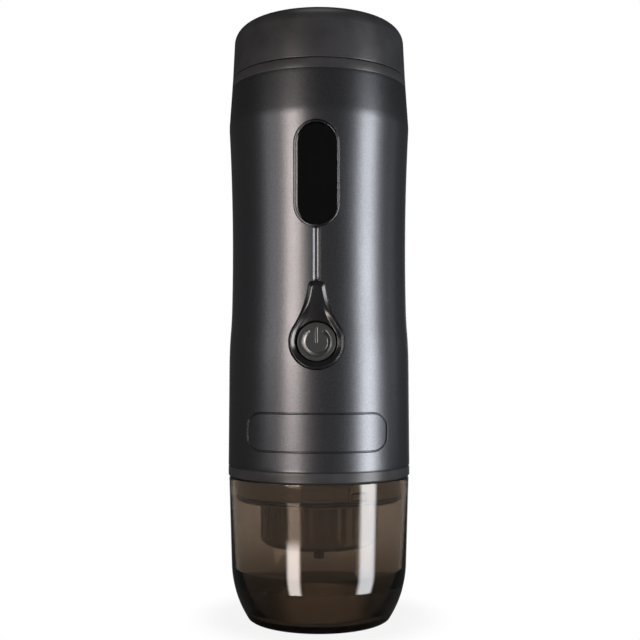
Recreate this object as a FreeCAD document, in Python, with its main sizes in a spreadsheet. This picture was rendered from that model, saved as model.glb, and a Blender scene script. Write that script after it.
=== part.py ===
import FreeCAD, Part
import Sketcher
import math
import os
from types import SimpleNamespace

# Portable electric espresso maker, standing on its cup.
# Origin: centre of the foot of the cup. +Z is up, and the button looks along -Y. Millimetres.

doc = FreeCAD.newDocument("espresso_maker")
sheet = doc.addObject("Spreadsheet::Sheet", "Sizes")

SIZES = {
    # Stack of the outside, from the foot of the cup to the top of the cap
    "cup_height": 55.6,
    "cup_gasket_height": 0.5,
    "collar_height": 4.1,
    "housing_height": 149.8,
    "rim_ring_height": 3.8,
    "cap_seam": 0.3,
    "cap_height": 20.9,
    # Clearances
    "running_gap": 0.3,
    "fit_gap": 0.1,
    "shaft_gap": 0.05,
    # Cup
    "cup_rim_step": 0.25,
    "cup_draft": 1.15,
    "cup_shoulder_height": 21.0,
    "cup_foot_turn": 6.54,
    "cup_flank_bend": 41.0,
    "cup_wall": 2.0,
    "cup_floor_height": 3.2,
    "cup_floor_inset": 1.5,
    "cup_foot_ring": 3.26,
    "cup_dimple_depth": 0.8,
    "cup_gasket_step": 0.55,
    "cup_gasket_width": 1.9,
    # Brew head: the neck that carries the cup and the capsule holder
    "neck_gap": 1.15,
    "neck_length": 9.6,
    "neck_lip_height": 0.4,
    "collar_bite": 0.2,
    "flange_step": 2.0,
    "flange_height": 2.0,
    "spigot_height": 5.8,
    "spigot_wall": 6.1,
    "brew_ceiling_height": 0.9,
    "head_floor_height": 5.0,
    "head_port_radius": 2.2,
    "o_ring_wire_radius": 0.85,
    "o_ring_proud": 0.55,
    # Brew bell, its seal and the needles, which close over the capsule
    "bell_radius": 20.9,
    "capsule_rim_room": 2.3,
    "bell_throat_radius": 13.0,
    "bell_mouth_radius": 15.8,
    "bell_seal_height": 1.0,
    "bell_seal_step": 0.4,
    "bell_seal_bore_step": 0.5,
    "needle_plate_height": 1.2,
    "needle_radius": 0.7,
    "needle_length": 5.6,
    "needle_circle_radius": 7.0,
    "needle_count": 3,
    # Capsule holder, which screws into the brew bore
    "holder_bore_gap": 0.4,
    "holder_wall": 2.2,
    "holder_height": 27.7,
    "holder_foot_bend": 2.6,
    "holder_land_width": 2.9,
    "holder_land_gap": 0.5,
    "holder_land_height": 6.2,
    "holder_land_slope": 1.2,
    "holder_floor_height": 3.0,
    "holder_gasket_height": 0.8,
    "holder_gasket_step": 0.4,
    "holder_gasket_bore_step": 0.2,
    "plate_height": 1.2,
    "plate_hole_radius": 0.8,
    "plate_hole_circle_radius": 10.5,
    "plate_hole_count": 12,
    "spout_radius": 2.1,
    "spout_bore_radius": 1.2,
    "spout_flange_radius": 3.2,
    "spout_length": 7.0,
    # Housing: an hourglass sleeve, straight inside
    "housing_radius": 36.0,
    "housing_wall": 2.5,
    "belly_pinch": 0.16,
    "belly_rise": 38.8,
    "belly_bend": 187.0,
    "flank_pinch": 0.7,
    "flank_rise": 13.5,
    "flank_bend": 150.0,
    "waist_pinch": 1.1,
    "waist_rise": 7.5,
    "waist_bend": 936.0,
    "shoulder_swell": 0.08,
    "shoulder_drop": 17.8,
    "shoulder_width": 3.6,
    "shoulder_bend": 30.0,
    "top_pinch": 0.86,
    # Level window of the water tank
    "window_drop": 19.7,
    "window_length": 39.9,
    "window_width": 17.2,
    "window_rim": 0.6,
    "window_bezel_width": 0.8,
    "window_bezel_inset": 0.3,
    "window_bezel_depth": 1.6,
    "lens_inset": 0.8,
    "lens_thickness": 1.2,
    # Drip line: the groove from the window down to the button
    "channel_width": 2.8,
    "channel_depth": 0.6,
    # Teardrop bezel and power button
    "button_rise": 47.7,
    "teardrop_radius": 10.3,
    "teardrop_join_angle": 30.0,
    "teardrop_tip_rise": 22.2,
    "teardrop_tip_width": 6.4,
    "teardrop_flank_bend": 44.0,
    "teardrop_proud": 0.6,
    "teardrop_flatness": 30.0,
    "teardrop_depth": 2.2,
    "teardrop_lip": 1.3,
    "button_radius": 7.1,
    "button_gap": 0.2,
    "button_inset": 0.55,
    "button_height": 3.45,
    "button_flange_width": 1.3,
    "button_flange_height": 1.1,
    "button_edge": 0.5,
    "button_travel": 0.8,
    # Switch and boards
    "switch_size": 6.0,
    "switch_height": 3.2,
    "switch_room": 1.7,
    "plunger_radius": 1.6,
    "plunger_depth": 0.8,
    "board_thickness": 1.6,
    "board_foot": 6.0,
    "board_head": 2.0,
    "chip_size": 7.0,
    "chip_thickness": 1.2,
    "chip_drop": 14.0,
    "coil_radius": 3.4,
    "coil_height": 3.0,
    "coil_drop": 30.0,
    # Badge outline: a fine groove round the front of the foot
    "badge_rise": 6.9,
    "badge_height": 14.7,
    "badge_width": 52.7,
    "badge_corner": 5.5,
    "badge_line": 0.6,
    "badge_depth": 0.45,
    # Charging port and its flap, at the back
    "port_rise": 23.3,
    "port_width": 8.94,
    "port_height": 3.2,
    "port_length": 7.3,
    "port_wall": 0.32,
    "port_depth": 6.2,
    "port_tongue_width": 6.7,
    "port_tongue_height": 0.7,
    "port_gap": 0.4,
    "port_board_gap": 0.6,
    "port_shelf_gap": 2.4,
    "port_slot_width": 10.4,
    "port_slot_height": 4.4,
    "port_board_width": 12.0,
    "port_board_length": 8.0,
    "port_board_thickness": 1.2,
    "flap_width": 14.0,
    "flap_height": 8.4,
    "flap_corner": 2.4,
    "flap_thickness": 1.5,
    "flap_proud": 0.25,
    "flap_tongue_width": 8.0,
    "flap_tongue_height": 1.8,
    "flap_tongue_depth": 1.0,
    # Chassis that carries cells, motor, pump and boards
    "chassis_plate": 2.0,
    "chassis_clear": 1.0,
    "column_radius": 2.2,
    "column_inset": 3.0,
    "column_angle": 26.5,
    "column_front_x": 12.75,
    "post_inset": 3.1,
    "post_count": 3,
    # Cells
    "cell_radius": 9.2,
    "cell_length": 65.0,
    "cell_rim": 0.4,
    "cell_angle": 31.0,
    "tab_width": 6.0,
    "tab_thickness": 0.3,
    # Heater
    "heater_room": 2.0,
    "heater_height": 12.0,
    "heater_nipple_radius": 2.1,
    "heater_nipple_length": 4.0,
    "cutout_length": 12.0,
    "cutout_width": 6.0,
    "cutout_height": 1.8,
    "cutout_gap": 0.2,
    # Pump, crank and their gears
    "pump_width": 23.0,
    "pump_front_wall": 1.2,
    "pump_back_gap": 1.0,
    "pump_height": 25.0,
    "pump_cover_thickness": 2.0,
    "pump_cover_rise": 4.6,
    "pillar_radius": 1.6,
    "pillar_inset": 3.0,
    "mount_overhang": 0.6,
    "mount_reach": 7.7,
    "mount_thickness": 2.0,
    "gear_room": 6.0,
    "gear_module": 0.6,
    "gear_height": 4.0,
    "crank_teeth": 30,
    "pinion_teeth": 10,
    "gear_play": 0.12,
    "tooth_share": 0.40,
    "tooth_head": 0.9,
    "tooth_foot": 1.15,
    "tooth_sunk": 0.25,
    "tooth_angle": 20.0,
    "crank_shaft_radius": 2.0,
    "crank_shaft_depth": 4.5,
    "bush_radius": 3.8,
    "bush_height": 5.0,
    # Motor
    "can_radius": 12.2,
    "can_wall": 1.0,
    "motor_rim": 0.7,
    "end_cap_height": 5.0,
    "magnet_thickness": 2.0,
    "magnet_inset": 3.0,
    "rotor_radius": 8.4,
    "rotor_inset": 5.0,
    "rotor_shaft_radius": 1.15,
    "commutator_radius": 3.0,
    "commutator_height": 3.5,
    "motor_bush_radius": 2.9,
    "motor_bush_height": 2.6,
    # Hoses
    "hose_radius": 2.2,
    "hose_bore_radius": 1.3,
    "hose_bend": 4.5,
    "inlet_run": 3.0,
    "inlet_height": 14.0,
    "pressure_run": 1.5,
    "pressure_height": 10.0,
    "hose_inset": 4.0,
    "nipple_radius": 1.2,
    "nipple_bore_radius": 0.7,
    "nipple_length": 6.0,
    # Water tank, its rim ring and the cap
    "tank_gap": 0.5,
    "tank_wall": 2.0,
    "tank_floor": 2.4,
    "tank_neck_step": 1.9,
    "tank_neck_wall": 2.6,
    "tank_neck_height": 12.0,
    "tank_shoulder_fall": 4.0,
    "filter_radius": 5.0,
    "filter_height": 1.0,
    "ring_taper": 0.24,
    "cap_step": 0.03,
    "cap_taper": 0.98,
    "cap_top_bend": 6.54,
    "cap_wall": 2.09,
    "cap_crown": 2.4,
    "cap_inner_bend": 3.0,
    "liner_foot": 0.5,
    "liner_bore_gap": 0.5,
    "liner_crown": 2.0,
    "liner_boss_radius": 6.0,
    "cap_gasket_height": 1.2,
    "valve_x": 14.0,
    "valve_stem_radius": 2.2,
    "valve_flange_radius": 3.4,
    "valve_flange_height": 1.0,
}

for row, (alias, number) in enumerate(SIZES.items(), 1):
    sheet.set(f"A{row}", alias)
    sheet.set(f"B{row}", str(number))
    sheet.setAlias(f"B{row}", alias)
doc.recompute()


class Size:
    """A size of the sheet, or a formula of such sizes: its value and its text for setExpression."""

    def __init__(self, value, formula):
        self.value = value
        self.formula = formula

    def __add__(self, other):
        other = sized(other)
        return Size(self.value + other.value, f"({self.formula} + {other.formula})")

    def __sub__(self, other):
        other = sized(other)
        return Size(self.value - other.value, f"({self.formula} - {other.formula})")

    def __mul__(self, other):
        other = sized(other)
        return Size(self.value * other.value, f"({self.formula} * {other.formula})")

    def __truediv__(self, other):
        other = sized(other)
        return Size(self.value / other.value, f"({self.formula} / {other.formula})")

    def __neg__(self):
        return Size(-self.value, f"(0 - {self.formula})")


def sized(amount):
    """An amount as a Size, where it is still a plain number."""
    if isinstance(amount, Size):
        return amount
    return Size(float(amount), repr(float(amount)))


def cosine(angle):
    """Cosine of an angle that the sheet gives in degrees."""
    return Size(math.cos(math.radians(angle.value)), f"cos({angle.formula})")


def sine(angle):
    """Sine of an angle that the sheet gives in degrees."""
    return Size(math.sin(math.radians(angle.value)), f"sin({angle.formula})")


size = SimpleNamespace(**{alias: Size(sheet.get(alias), "Sizes." + alias) for alias in SIZES})
ZERO = Size(0.0, "0")


# Drawing in sketches

def hold(sketch, kind, value, *where):
    """Adds a dimension to a sketch and binds it to a size."""
    number = sketch.addConstraint(Sketcher.Constraint(kind, *where, value.value))
    sketch.setExpression(f"Constraints[{number}]", value.formula)


def hold_point(sketch, edge, end, across, up):
    """Holds one end or centre of an edge at its place, on an axis where that place is zero."""
    for kind, axis, place in (("DistanceX", -2, across), ("DistanceY", -1, up)):
        if abs(place.value) < 1e-9:
            sketch.addConstraint(Sketcher.Constraint("PointOnObject", edge, end, axis))
        else:
            hold(sketch, kind, place, -1, 1, edge, end)


def round_side(start, end, bend):
    """Arc of radius bend from start to end, bulging right of the way there, or left for a negative bend."""
    chord = end - start
    leftward = FreeCAD.Vector(-chord.y, chord.x, 0).normalize()
    reach = math.sqrt(bend * bend - chord.Length ** 2 / 4)
    centre = (start + end) * 0.5 + leftward * math.copysign(reach, bend)
    circle = Part.Circle(centre, FreeCAD.Vector(0, 0, 1), abs(bend))
    first, last = (start, end) if bend > 0 else (end, start)
    angles = [math.atan2((point - centre).y, (point - centre).x) for point in (first, last)]
    return Part.ArcOfCircle(circle, *angles)


def draw_outline(sketch, corners):
    """Draws a closed outline, counterclockwise. A corner is (across, up), or (across, up, bend) where a round
    side of radius bend starts there, and each one is held at its own sizes."""
    corners = [tuple(sized(amount) for amount in corner) for corner in corners]
    ends = []
    for corner, following in zip(corners, corners[1:] + corners[:1]):
        start = FreeCAD.Vector(corner[0].value, corner[1].value, 0)
        end = FreeCAD.Vector(following[0].value, following[1].value, 0)
        if len(corner) == 3:
            bend = corner[2]
            edge = sketch.addGeometry(round_side(start, end, bend.value), False)
            hold(sketch, "Radius", bend if bend.value > 0 else -bend, edge)
            ends.append((edge, 1, 2) if bend.value > 0 else (edge, 2, 1))
        else:
            edge = sketch.addGeometry(Part.LineSegment(start, end), False)
            ends.append((edge, 1, 2))
    for corner, side, before in zip(corners, ends, ends[-1:] + ends[:-1]):
        sketch.addConstraint(Sketcher.Constraint("Coincident", before[0], before[2], side[0], side[1]))
        hold_point(sketch, side[0], side[1], corner[0], corner[1])


def draw_circles(sketch, circles):
    """Draws circles, each given as (across, up, radius)."""
    for across, up, radius in circles:
        across, up, radius = sized(across), sized(up), sized(radius)
        centre = FreeCAD.Vector(across.value, up.value, 0)
        edge = sketch.addGeometry(Part.Circle(centre, FreeCAD.Vector(0, 0, 1), radius.value), False)
        hold_point(sketch, edge, 3, across, up)
        hold(sketch, "Radius", radius, edge)


def box_outline(left, right, low, high, corner=None):
    """Corners of a rectangle, with rounded ones where a corner radius is given."""
    if corner is None:
        return [(left, low), (right, low), (right, high), (left, high)]
    return [
        (left + corner, low), (right - corner, low, corner),
        (right, low + corner), (right, high - corner, corner),
        (right - corner, high), (left + corner, high, corner),
        (left, high - corner), (left, low + corner, corner),
    ]


def stadium_outline(half_width, low, high):
    """Corners of an upright slot with half-round ends, each end two quarter rounds."""
    return [
        (half_width, low + half_width), (half_width, high - half_width, half_width),
        (ZERO, high, half_width), (-half_width, high - half_width),
        (-half_width, low + half_width, half_width), (ZERO, low, half_width),
    ]


def teardrop_outline(grow):
    """Corners of the teardrop round the button, grown outwards all round by an amount."""
    radius = size.teardrop_radius + grow
    tip = size.teardrop_tip_width / 2 + grow
    join_across = radius * cosine(size.teardrop_join_angle)
    join_up = button_centre + radius * sine(size.teardrop_join_angle)
    tip_up = button_centre + size.teardrop_tip_rise + grow
    flank = -(size.teardrop_flank_bend - grow)
    foot = button_centre - radius
    return [
        (ZERO, foot, radius), (join_across, join_up, flank),
        (tip, tip_up), (-tip, tip_up, flank), (-join_across, join_up, radius),
    ]


# Making pieces

def set_base(item, x=ZERO, y=ZERO, z=ZERO):
    """Puts an item at a place, bound to its sizes."""
    for axis, place in zip("xyz", (x, y, z)):
        place = sized(place)
        if place.formula != "0":
            item.setExpression(f"Placement.Base.{axis}", place.formula)


def start_body(label):
    """An empty body with its own label."""
    body = doc.addObject("PartDesign::Body", label)
    body.Label = label
    return body


def body_sketch(body, plane, raised=None):
    """A sketch on one of a body's own origin planes, raised from it where a height is given."""
    sketch = body.newObject("Sketcher::SketchObject", f"{body.Label}_sketch")
    origin_plane = [face for face in body.Origin.OriginFeatures if face.Role == plane][0]
    sketch.AttachmentSupport = [(origin_plane, "")]
    sketch.MapMode = "FlatFace"
    if raised is not None:
        sketch.setExpression("AttachmentOffset.Base.z", sized(raised).formula)
    return sketch


def turned(label, corners, x=ZERO, y=ZERO, z=ZERO):
    """A body turned about +Z from its half outline of (radius, height) corners."""
    body = start_body(label)
    sketch = body_sketch(body, "XZ_Plane")
    draw_outline(sketch, corners)
    turn = body.newObject("PartDesign::Revolution", f"{label}_turn")
    turn.Profile = sketch
    turn.ReferenceAxis = (sketch, ["V_Axis"])
    turn.Angle = 360
    set_base(body, x, y, z)
    return body


def pad(body, low, high, outline=None, circles=None):
    """Adds to a body what an outline or circles, drawn from above, sweep from one height to another."""
    sketch = body_sketch(body, "XY_Plane", low)
    if outline is not None:
        draw_outline(sketch, outline)
    if circles is not None:
        draw_circles(sketch, circles)
    feature = body.newObject("PartDesign::Pad", f"{body.Label}_pad")
    feature.Profile = sketch
    feature.setExpression("Length", (sized(high) - sized(low)).formula)
    return feature


def pocket(body, low, high, circles):
    """Cuts out of a body what circles, drawn from above, sweep between two heights."""
    sketch = body_sketch(body, "XY_Plane", high)
    draw_circles(sketch, circles)
    feature = body.newObject("PartDesign::Pocket", f"{body.Label}_pocket")
    feature.Profile = sketch
    feature.setExpression("Length", (sized(high) - sized(low)).formula)
    return feature


def pattern(body, feature, count):
    """Repeats a feature of a body evenly round +Z."""
    turn = body.newObject("PartDesign::PolarPattern", f"{body.Label}_pattern")
    turn.Originals = [feature]
    turn.Axis = (feature.Profile[0], ["N_Axis"])
    turn.Angle = 360
    turn.setExpression("Occurrences", count.formula)
    body.Tip = turn
    return turn


def rod(label, radius, low, high, x=ZERO, y=ZERO):
    """An upright cylinder."""
    cylinder = doc.addObject("Part::Cylinder", label)
    cylinder.Label = label
    cylinder.setExpression("Radius", sized(radius).formula)
    cylinder.setExpression("Height", (sized(high) - sized(low)).formula)
    set_base(cylinder, x, y, low)
    return cylinder


def block(label, left, right, front, back, low, high):
    """A box between its six sides."""
    box = doc.addObject("Part::Box", label)
    box.Label = label
    for name, first, last in (("Length", left, right), ("Width", front, back), ("Height", low, high)):
        box.setExpression(name, (sized(last) - sized(first)).formula)
    set_base(box, left, front, low)
    return box


def joined(kind, label, items):
    """Part::MultiFuse or Part::MultiCommon of several items."""
    result = doc.addObject(kind, label)
    result.Label = label
    result.Shapes = items
    return result


def cut(label, base, tools):
    """A base with one or more tools cut away."""
    result = doc.addObject("Part::Cut", label)
    result.Label = label
    result.Base = base
    result.Tool = tools[0] if len(tools) == 1 else joined("Part::MultiFuse", f"{label}_tools", tools)
    return result


def group(label, items):
    """Separate solids that share one node."""
    result = doc.addObject("Part::Compound", label)
    result.Label = label
    result.Links = items
    return result


def pushed(label, corners=None, towards=-1, circle=None):
    """A prism from an upright outline or circle at the axis, out through the front (-1) or back (+1)."""
    sketch = doc.addObject("Sketcher::SketchObject", f"{label}_sketch")
    sketch.Placement.Rotation = FreeCAD.Rotation(FreeCAD.Vector(1, 0, 0), 90)
    if circle is None:
        draw_outline(sketch, corners)
    else:
        draw_circles(sketch, [circle])
    prism = doc.addObject("Part::Extrusion", label)
    prism.Base = sketch
    prism.DirMode = "Custom"
    prism.Dir = FreeCAD.Vector(0, towards, 0)
    prism.Solid = True
    prism.setExpression("LengthFwd", (shoulder_radius * 2).formula)
    return prism


def backwards(corners):
    """The same open line of corners, travelled the other way."""
    turned_round = []
    for number in range(len(corners) - 1, -1, -1):
        bend_before = corners[number - 1][2:] if number else ()
        turned_round.append((*corners[number][:2], *[-bend for bend in bend_before]))
    return turned_round


def skin(label, outer, inner):
    """The part of the housing's wall between two depths under its outer surface."""
    return turned(label, housing_corners(outer) + backwards(housing_corners(inner)))


def housing_corners(inset):
    """Corners of the housing's hourglass outside, going up, moved inwards by an inset."""
    return [
        (size.housing_radius - inset, collar_top),
        (size.housing_radius - size.belly_pinch - inset, belly_top, size.belly_bend),
        (size.housing_radius - size.flank_pinch - inset, flank_top, -size.flank_bend),
        (waist_radius - inset, waist_start, -size.waist_bend),
        (shoulder_radius - inset, shoulder_low, size.shoulder_bend),
        (shoulder_radius - inset, shoulder_low + size.shoulder_width),
        (housing_top_radius - inset, housing_top),
    ]


# Radii that several pieces share

waist_radius = size.housing_radius - size.waist_pinch
shoulder_radius = size.housing_radius + size.shoulder_swell
housing_top_radius = size.housing_radius - size.top_pinch
housing_bore = waist_radius - size.housing_wall
spigot_radius = housing_bore - size.running_gap
chassis_radius = housing_bore - size.running_gap
tank_radius = housing_bore - size.tank_gap
tank_neck_radius = tank_radius - size.tank_neck_step
cup_rim_radius = size.housing_radius - size.cup_rim_step
cup_shoulder_radius = cup_rim_radius - size.cup_draft
cup_foot_radius = cup_shoulder_radius - size.cup_foot_turn
neck_radius = cup_rim_radius - size.cup_wall - size.neck_gap
head_recess_radius = spigot_radius - size.spigot_wall
heater_radius = head_recess_radius - size.heater_room

# Heights that several pieces share

collar_bottom = size.cup_height + size.cup_gasket_height
collar_top = collar_bottom + size.collar_height
belly_top = collar_top + size.belly_rise
flank_top = belly_top + size.flank_rise
waist_start = flank_top + size.waist_rise
housing_top = collar_top + size.housing_height
shoulder_low = housing_top - size.shoulder_drop
ring_top = housing_top + size.rim_ring_height
cap_bottom = ring_top + size.cap_seam
cap_top = cap_bottom + size.cap_height
button_centre = collar_top + size.button_rise
head_top = collar_top + size.spigot_height
brew_ceiling = collar_bottom + size.brew_ceiling_height
heater_bottom = brew_ceiling + size.head_floor_height
heater_top = heater_bottom + size.heater_height
chassis_floor = heater_top + size.cutout_height + size.cutout_gap
chassis_deck = chassis_floor + size.chassis_plate
cells_top = chassis_deck + size.cell_length
chassis_roof = cells_top + size.chassis_clear
tank_bottom = chassis_roof + size.chassis_plate
window_high = housing_top - size.window_drop
window_low = window_high - size.window_length

# Cup: a clear pot whose flank curves in to the foot, with a dimple under its floor

dimple_rim = cup_foot_radius - size.cup_foot_ring
cup = turned("cup", [
    (ZERO, size.cup_dimple_depth),
    (dimple_rim - size.cup_dimple_depth, size.cup_dimple_depth),
    (dimple_rim, ZERO),
    (cup_foot_radius, ZERO, size.cup_flank_bend),
    (cup_shoulder_radius, size.cup_shoulder_height),
    (cup_rim_radius, size.cup_height),
    (cup_rim_radius - size.cup_wall, size.cup_height),
    (cup_shoulder_radius - size.cup_wall, size.cup_shoulder_height, -(size.cup_flank_bend - size.cup_wall)),
    (cup_foot_radius - size.cup_floor_inset, size.cup_floor_height),
    (ZERO, size.cup_floor_height),
])

cup_gasket_radius = cup_rim_radius - size.cup_gasket_step
cup_gasket = turned("cup_gasket", box_outline(
    cup_gasket_radius - size.cup_gasket_width, cup_gasket_radius, size.cup_height, collar_bottom))

# Lower collar: it clamps the flange of the brew head against the end of the housing

flange_bottom = collar_top - size.flange_height
flange_radius = size.housing_radius - size.flange_step
lower_collar = turned("lower_collar", [
    (neck_radius + size.collar_bite, collar_bottom),
    (size.housing_radius, collar_bottom),
    (size.housing_radius, collar_top),
    (flange_radius + size.collar_bite, collar_top),
    (flange_radius + size.collar_bite, flange_bottom),
    (neck_radius + size.collar_bite, flange_bottom),
])

# Brew head: neck, flange and spigot, with the brew bore below and a seat for the heater above

neck_bottom = collar_bottom - size.neck_length
groove_low = neck_bottom + size.neck_lip_height
groove_high = groove_low + size.o_ring_wire_radius * 2 + size.fit_gap
o_ring_centre = neck_radius + size.o_ring_proud - size.o_ring_wire_radius
groove_radius = o_ring_centre - size.o_ring_wire_radius - size.shaft_gap
holder_bore = size.bell_radius + size.holder_bore_gap
holder_radius = holder_bore + size.holder_wall
land_radius = holder_radius + size.holder_land_width
brew_bore = land_radius + size.holder_land_gap

brew_head = turned("brew_head", [
    (brew_bore, neck_bottom),
    (neck_radius, neck_bottom),
    (neck_radius, groove_low),
    (groove_radius, groove_low),
    (groove_radius, groove_high),
    (neck_radius, groove_high),
    (neck_radius, flange_bottom),
    (flange_radius, flange_bottom),
    (flange_radius, collar_top),
    (spigot_radius, collar_top),
    (spigot_radius, head_top),
    (head_recess_radius, head_top),
    (head_recess_radius, heater_bottom),
    (size.head_port_radius, heater_bottom),
    (size.head_port_radius, brew_ceiling),
    (brew_bore, brew_ceiling),
])

neck_o_ring = doc.addObject("Part::Torus", "neck_o_ring")
neck_o_ring.setExpression("Radius1", o_ring_centre.formula)
neck_o_ring.setExpression("Radius2", size.o_ring_wire_radius.formula)
set_base(neck_o_ring, z=(groove_low + groove_high) / 2)

# Brew bell with its seal, and the plate of needles in its throat

holder_top = brew_ceiling - size.holder_gasket_height
holder_bottom = holder_top - size.holder_height
holder_floor = holder_bottom + size.holder_floor_height
plate_top = holder_floor + size.plate_height
bell_bottom = plate_top + size.capsule_rim_room + size.bell_seal_height
brew_bell = turned("brew_bell", [
    (size.bell_mouth_radius, bell_bottom),
    (size.bell_radius, bell_bottom),
    (size.bell_radius, brew_ceiling),
    (size.bell_throat_radius, brew_ceiling),
])
bell_seal = turned("bell_seal", box_outline(
    size.bell_mouth_radius + size.bell_seal_bore_step, size.bell_radius - size.bell_seal_step,
    bell_bottom - size.bell_seal_height, bell_bottom))

needle_top = brew_ceiling - size.needle_plate_height
needle_plate = start_body("needle_plate")
pad(needle_plate, needle_top, brew_ceiling,
    circles=[(0, 0, size.bell_throat_radius - size.fit_gap), (0, 0, size.head_port_radius)])
needle = pad(needle_plate, needle_top - size.needle_length, needle_top,
             circles=[(size.needle_circle_radius, 0, size.needle_radius)])
pattern(needle_plate, needle, size.needle_count)

# Capsule holder with its seal, the perforated plate on its floor and the spout

land_bottom = holder_top - size.holder_land_height
spout_seat = size.spout_flange_radius + size.shaft_gap

holder_gasket = turned("holder_gasket", box_outline(
    holder_bore + size.holder_gasket_bore_step, land_radius - size.holder_gasket_step,
    holder_top, brew_ceiling))
capsule_holder = turned("capsule_holder", [
    (spout_seat, holder_bottom),
    (holder_radius - size.holder_foot_bend, holder_bottom, size.holder_foot_bend),
    (holder_radius, holder_bottom + size.holder_foot_bend),
    (holder_radius, land_bottom - size.holder_land_slope),
    (land_radius, land_bottom),
    (land_radius, holder_top),
    (holder_bore, holder_top),
    (holder_bore, holder_floor),
    (spout_seat, holder_floor),
])

pyramid_plate = start_body("pyramid_plate")
pad(pyramid_plate, holder_floor, plate_top,
    circles=[(0, 0, holder_bore - size.fit_gap)])
plate_hole = pocket(pyramid_plate, holder_floor, plate_top,
                    [(size.plate_hole_circle_radius, 0, size.plate_hole_radius)])
pattern(pyramid_plate, plate_hole, size.plate_hole_count)

spout = turned("spout", [
    (size.spout_bore_radius, holder_bottom - size.spout_length),
    (size.spout_radius, holder_bottom - size.spout_length),
    (size.spout_radius, holder_bottom),
    (size.spout_flange_radius, holder_bottom),
    (size.spout_flange_radius, holder_floor),
    (size.spout_bore_radius, holder_floor),
])

# Housing: the hourglass sleeve, cut for window, drip line, teardrop, badge outline and port

window_half = size.window_width / 2
opening_half = window_half - size.window_rim
teardrop_top = button_centre + size.teardrop_tip_rise
badge_low = collar_top + size.badge_rise
badge_high = badge_low + size.badge_height
badge_half = size.badge_width / 2
port_centre = collar_top + size.port_rise
flap_top = port_centre + size.flap_height / 2
flap_low = port_centre - size.flap_height / 2
flap_half = size.flap_width / 2

housing_blank = turned("housing_blank", [
    (housing_bore, collar_top), *housing_corners(ZERO), (housing_bore, housing_top)])


def recess(label, outline, depth, towards=-1):
    """A tool that cuts an outline to an even depth under the housing's curved surface."""
    prism = pushed(f"{label}_prism", outline, towards)
    layer = skin(f"{label}_layer", -size.shoulder_width, depth)
    return joined("Part::MultiCommon", f"{label}_tool", [prism, layer])


window_bevel = recess("window_bevel", stadium_outline(window_half, window_low, window_high), size.window_rim)
window_hole = pushed("window_hole", stadium_outline(
    opening_half, window_low + size.window_rim, window_high - size.window_rim))
teardrop_hole = pushed("teardrop_hole", teardrop_outline(size.fit_gap))
channel = recess("channel", box_outline(
    -size.channel_width / 2, size.channel_width / 2, teardrop_top, window_low + size.window_rim),
    size.channel_depth)
badge_outside = recess("badge_outside", box_outline(
    -badge_half, badge_half, badge_low, badge_high, size.badge_corner), size.badge_depth)
badge_inside = pushed("badge_inside", box_outline(
    -badge_half + size.badge_line, badge_half - size.badge_line,
    badge_low + size.badge_line, badge_high - size.badge_line, size.badge_corner - size.badge_line))
badge_groove = cut("badge_groove", badge_outside, [badge_inside])
flap_recess = recess("flap_recess", box_outline(
    -flap_half - size.running_gap, flap_half + size.running_gap,
    flap_low - size.running_gap, flap_top + size.running_gap, size.flap_corner + size.running_gap),
    size.flap_thickness, towards=1)
port_slot = pushed("port_slot", box_outline(
    -size.port_slot_width / 2, size.port_slot_width / 2,
    port_centre - size.port_slot_height / 2, port_centre + size.port_slot_height / 2), towards=1)
housing = cut("housing", housing_blank, [
    window_bevel, window_hole, teardrop_hole, channel, badge_groove, flap_recess, port_slot])

# Window: a thin bezel and the lens behind it, both following the housing's surface

bezel_half = opening_half - size.fit_gap
bezel_low = window_low + size.window_rim + size.fit_gap
bezel_high = window_high - size.window_rim - size.fit_gap
lens_half = bezel_half - size.window_bezel_width
lens_low = bezel_low + size.window_bezel_width
lens_high = bezel_high - size.window_bezel_width

window_bezel = joined("Part::MultiCommon", "window_bezel_plate", [
    pushed("window_bezel_prism", stadium_outline(bezel_half, bezel_low, bezel_high)),
    skin("window_bezel_layer", size.window_bezel_inset, size.window_bezel_inset + size.window_bezel_depth)])
window_bezel = cut("window_bezel", window_bezel, [
    pushed("window_bezel_hole", stadium_outline(lens_half, lens_low, lens_high))])
window_lens = joined("Part::MultiCommon", "window_lens", [
    pushed("window_lens_prism", stadium_outline(
        lens_half - size.shaft_gap, lens_low + size.shaft_gap, lens_high - size.shaft_gap)),
    skin("window_lens_layer", size.lens_inset, size.lens_inset + size.lens_thickness)])

# Teardrop bezel: proud of the housing and flatter across than it, dished inside its lip, with the
# button's hole. The brow that caps it is the hourglass turned about an axis further back.

button_bezel_brow = turned("button_bezel_brow", [
    (ZERO, collar_top),
    *housing_corners(-(size.teardrop_proud + size.teardrop_flatness)),
    (ZERO, housing_top),
], y=size.teardrop_flatness)
button_bezel_plate = joined("Part::MultiCommon", "button_bezel_plate", [
    pushed("button_bezel_prism", teardrop_outline(ZERO)),
    skin("button_bezel_layer", -size.shoulder_width, size.teardrop_depth), button_bezel_brow])
button_hole = pushed("button_hole", circle=(0, button_centre, size.button_radius + size.button_gap))
button_dish = recess("button_dish", teardrop_outline(-size.teardrop_lip), ZERO)
button_bezel = cut("button_bezel", button_bezel_plate, [button_hole, button_dish])

# Power button, held behind the bezel by its flange, and the switch that it presses

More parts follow.
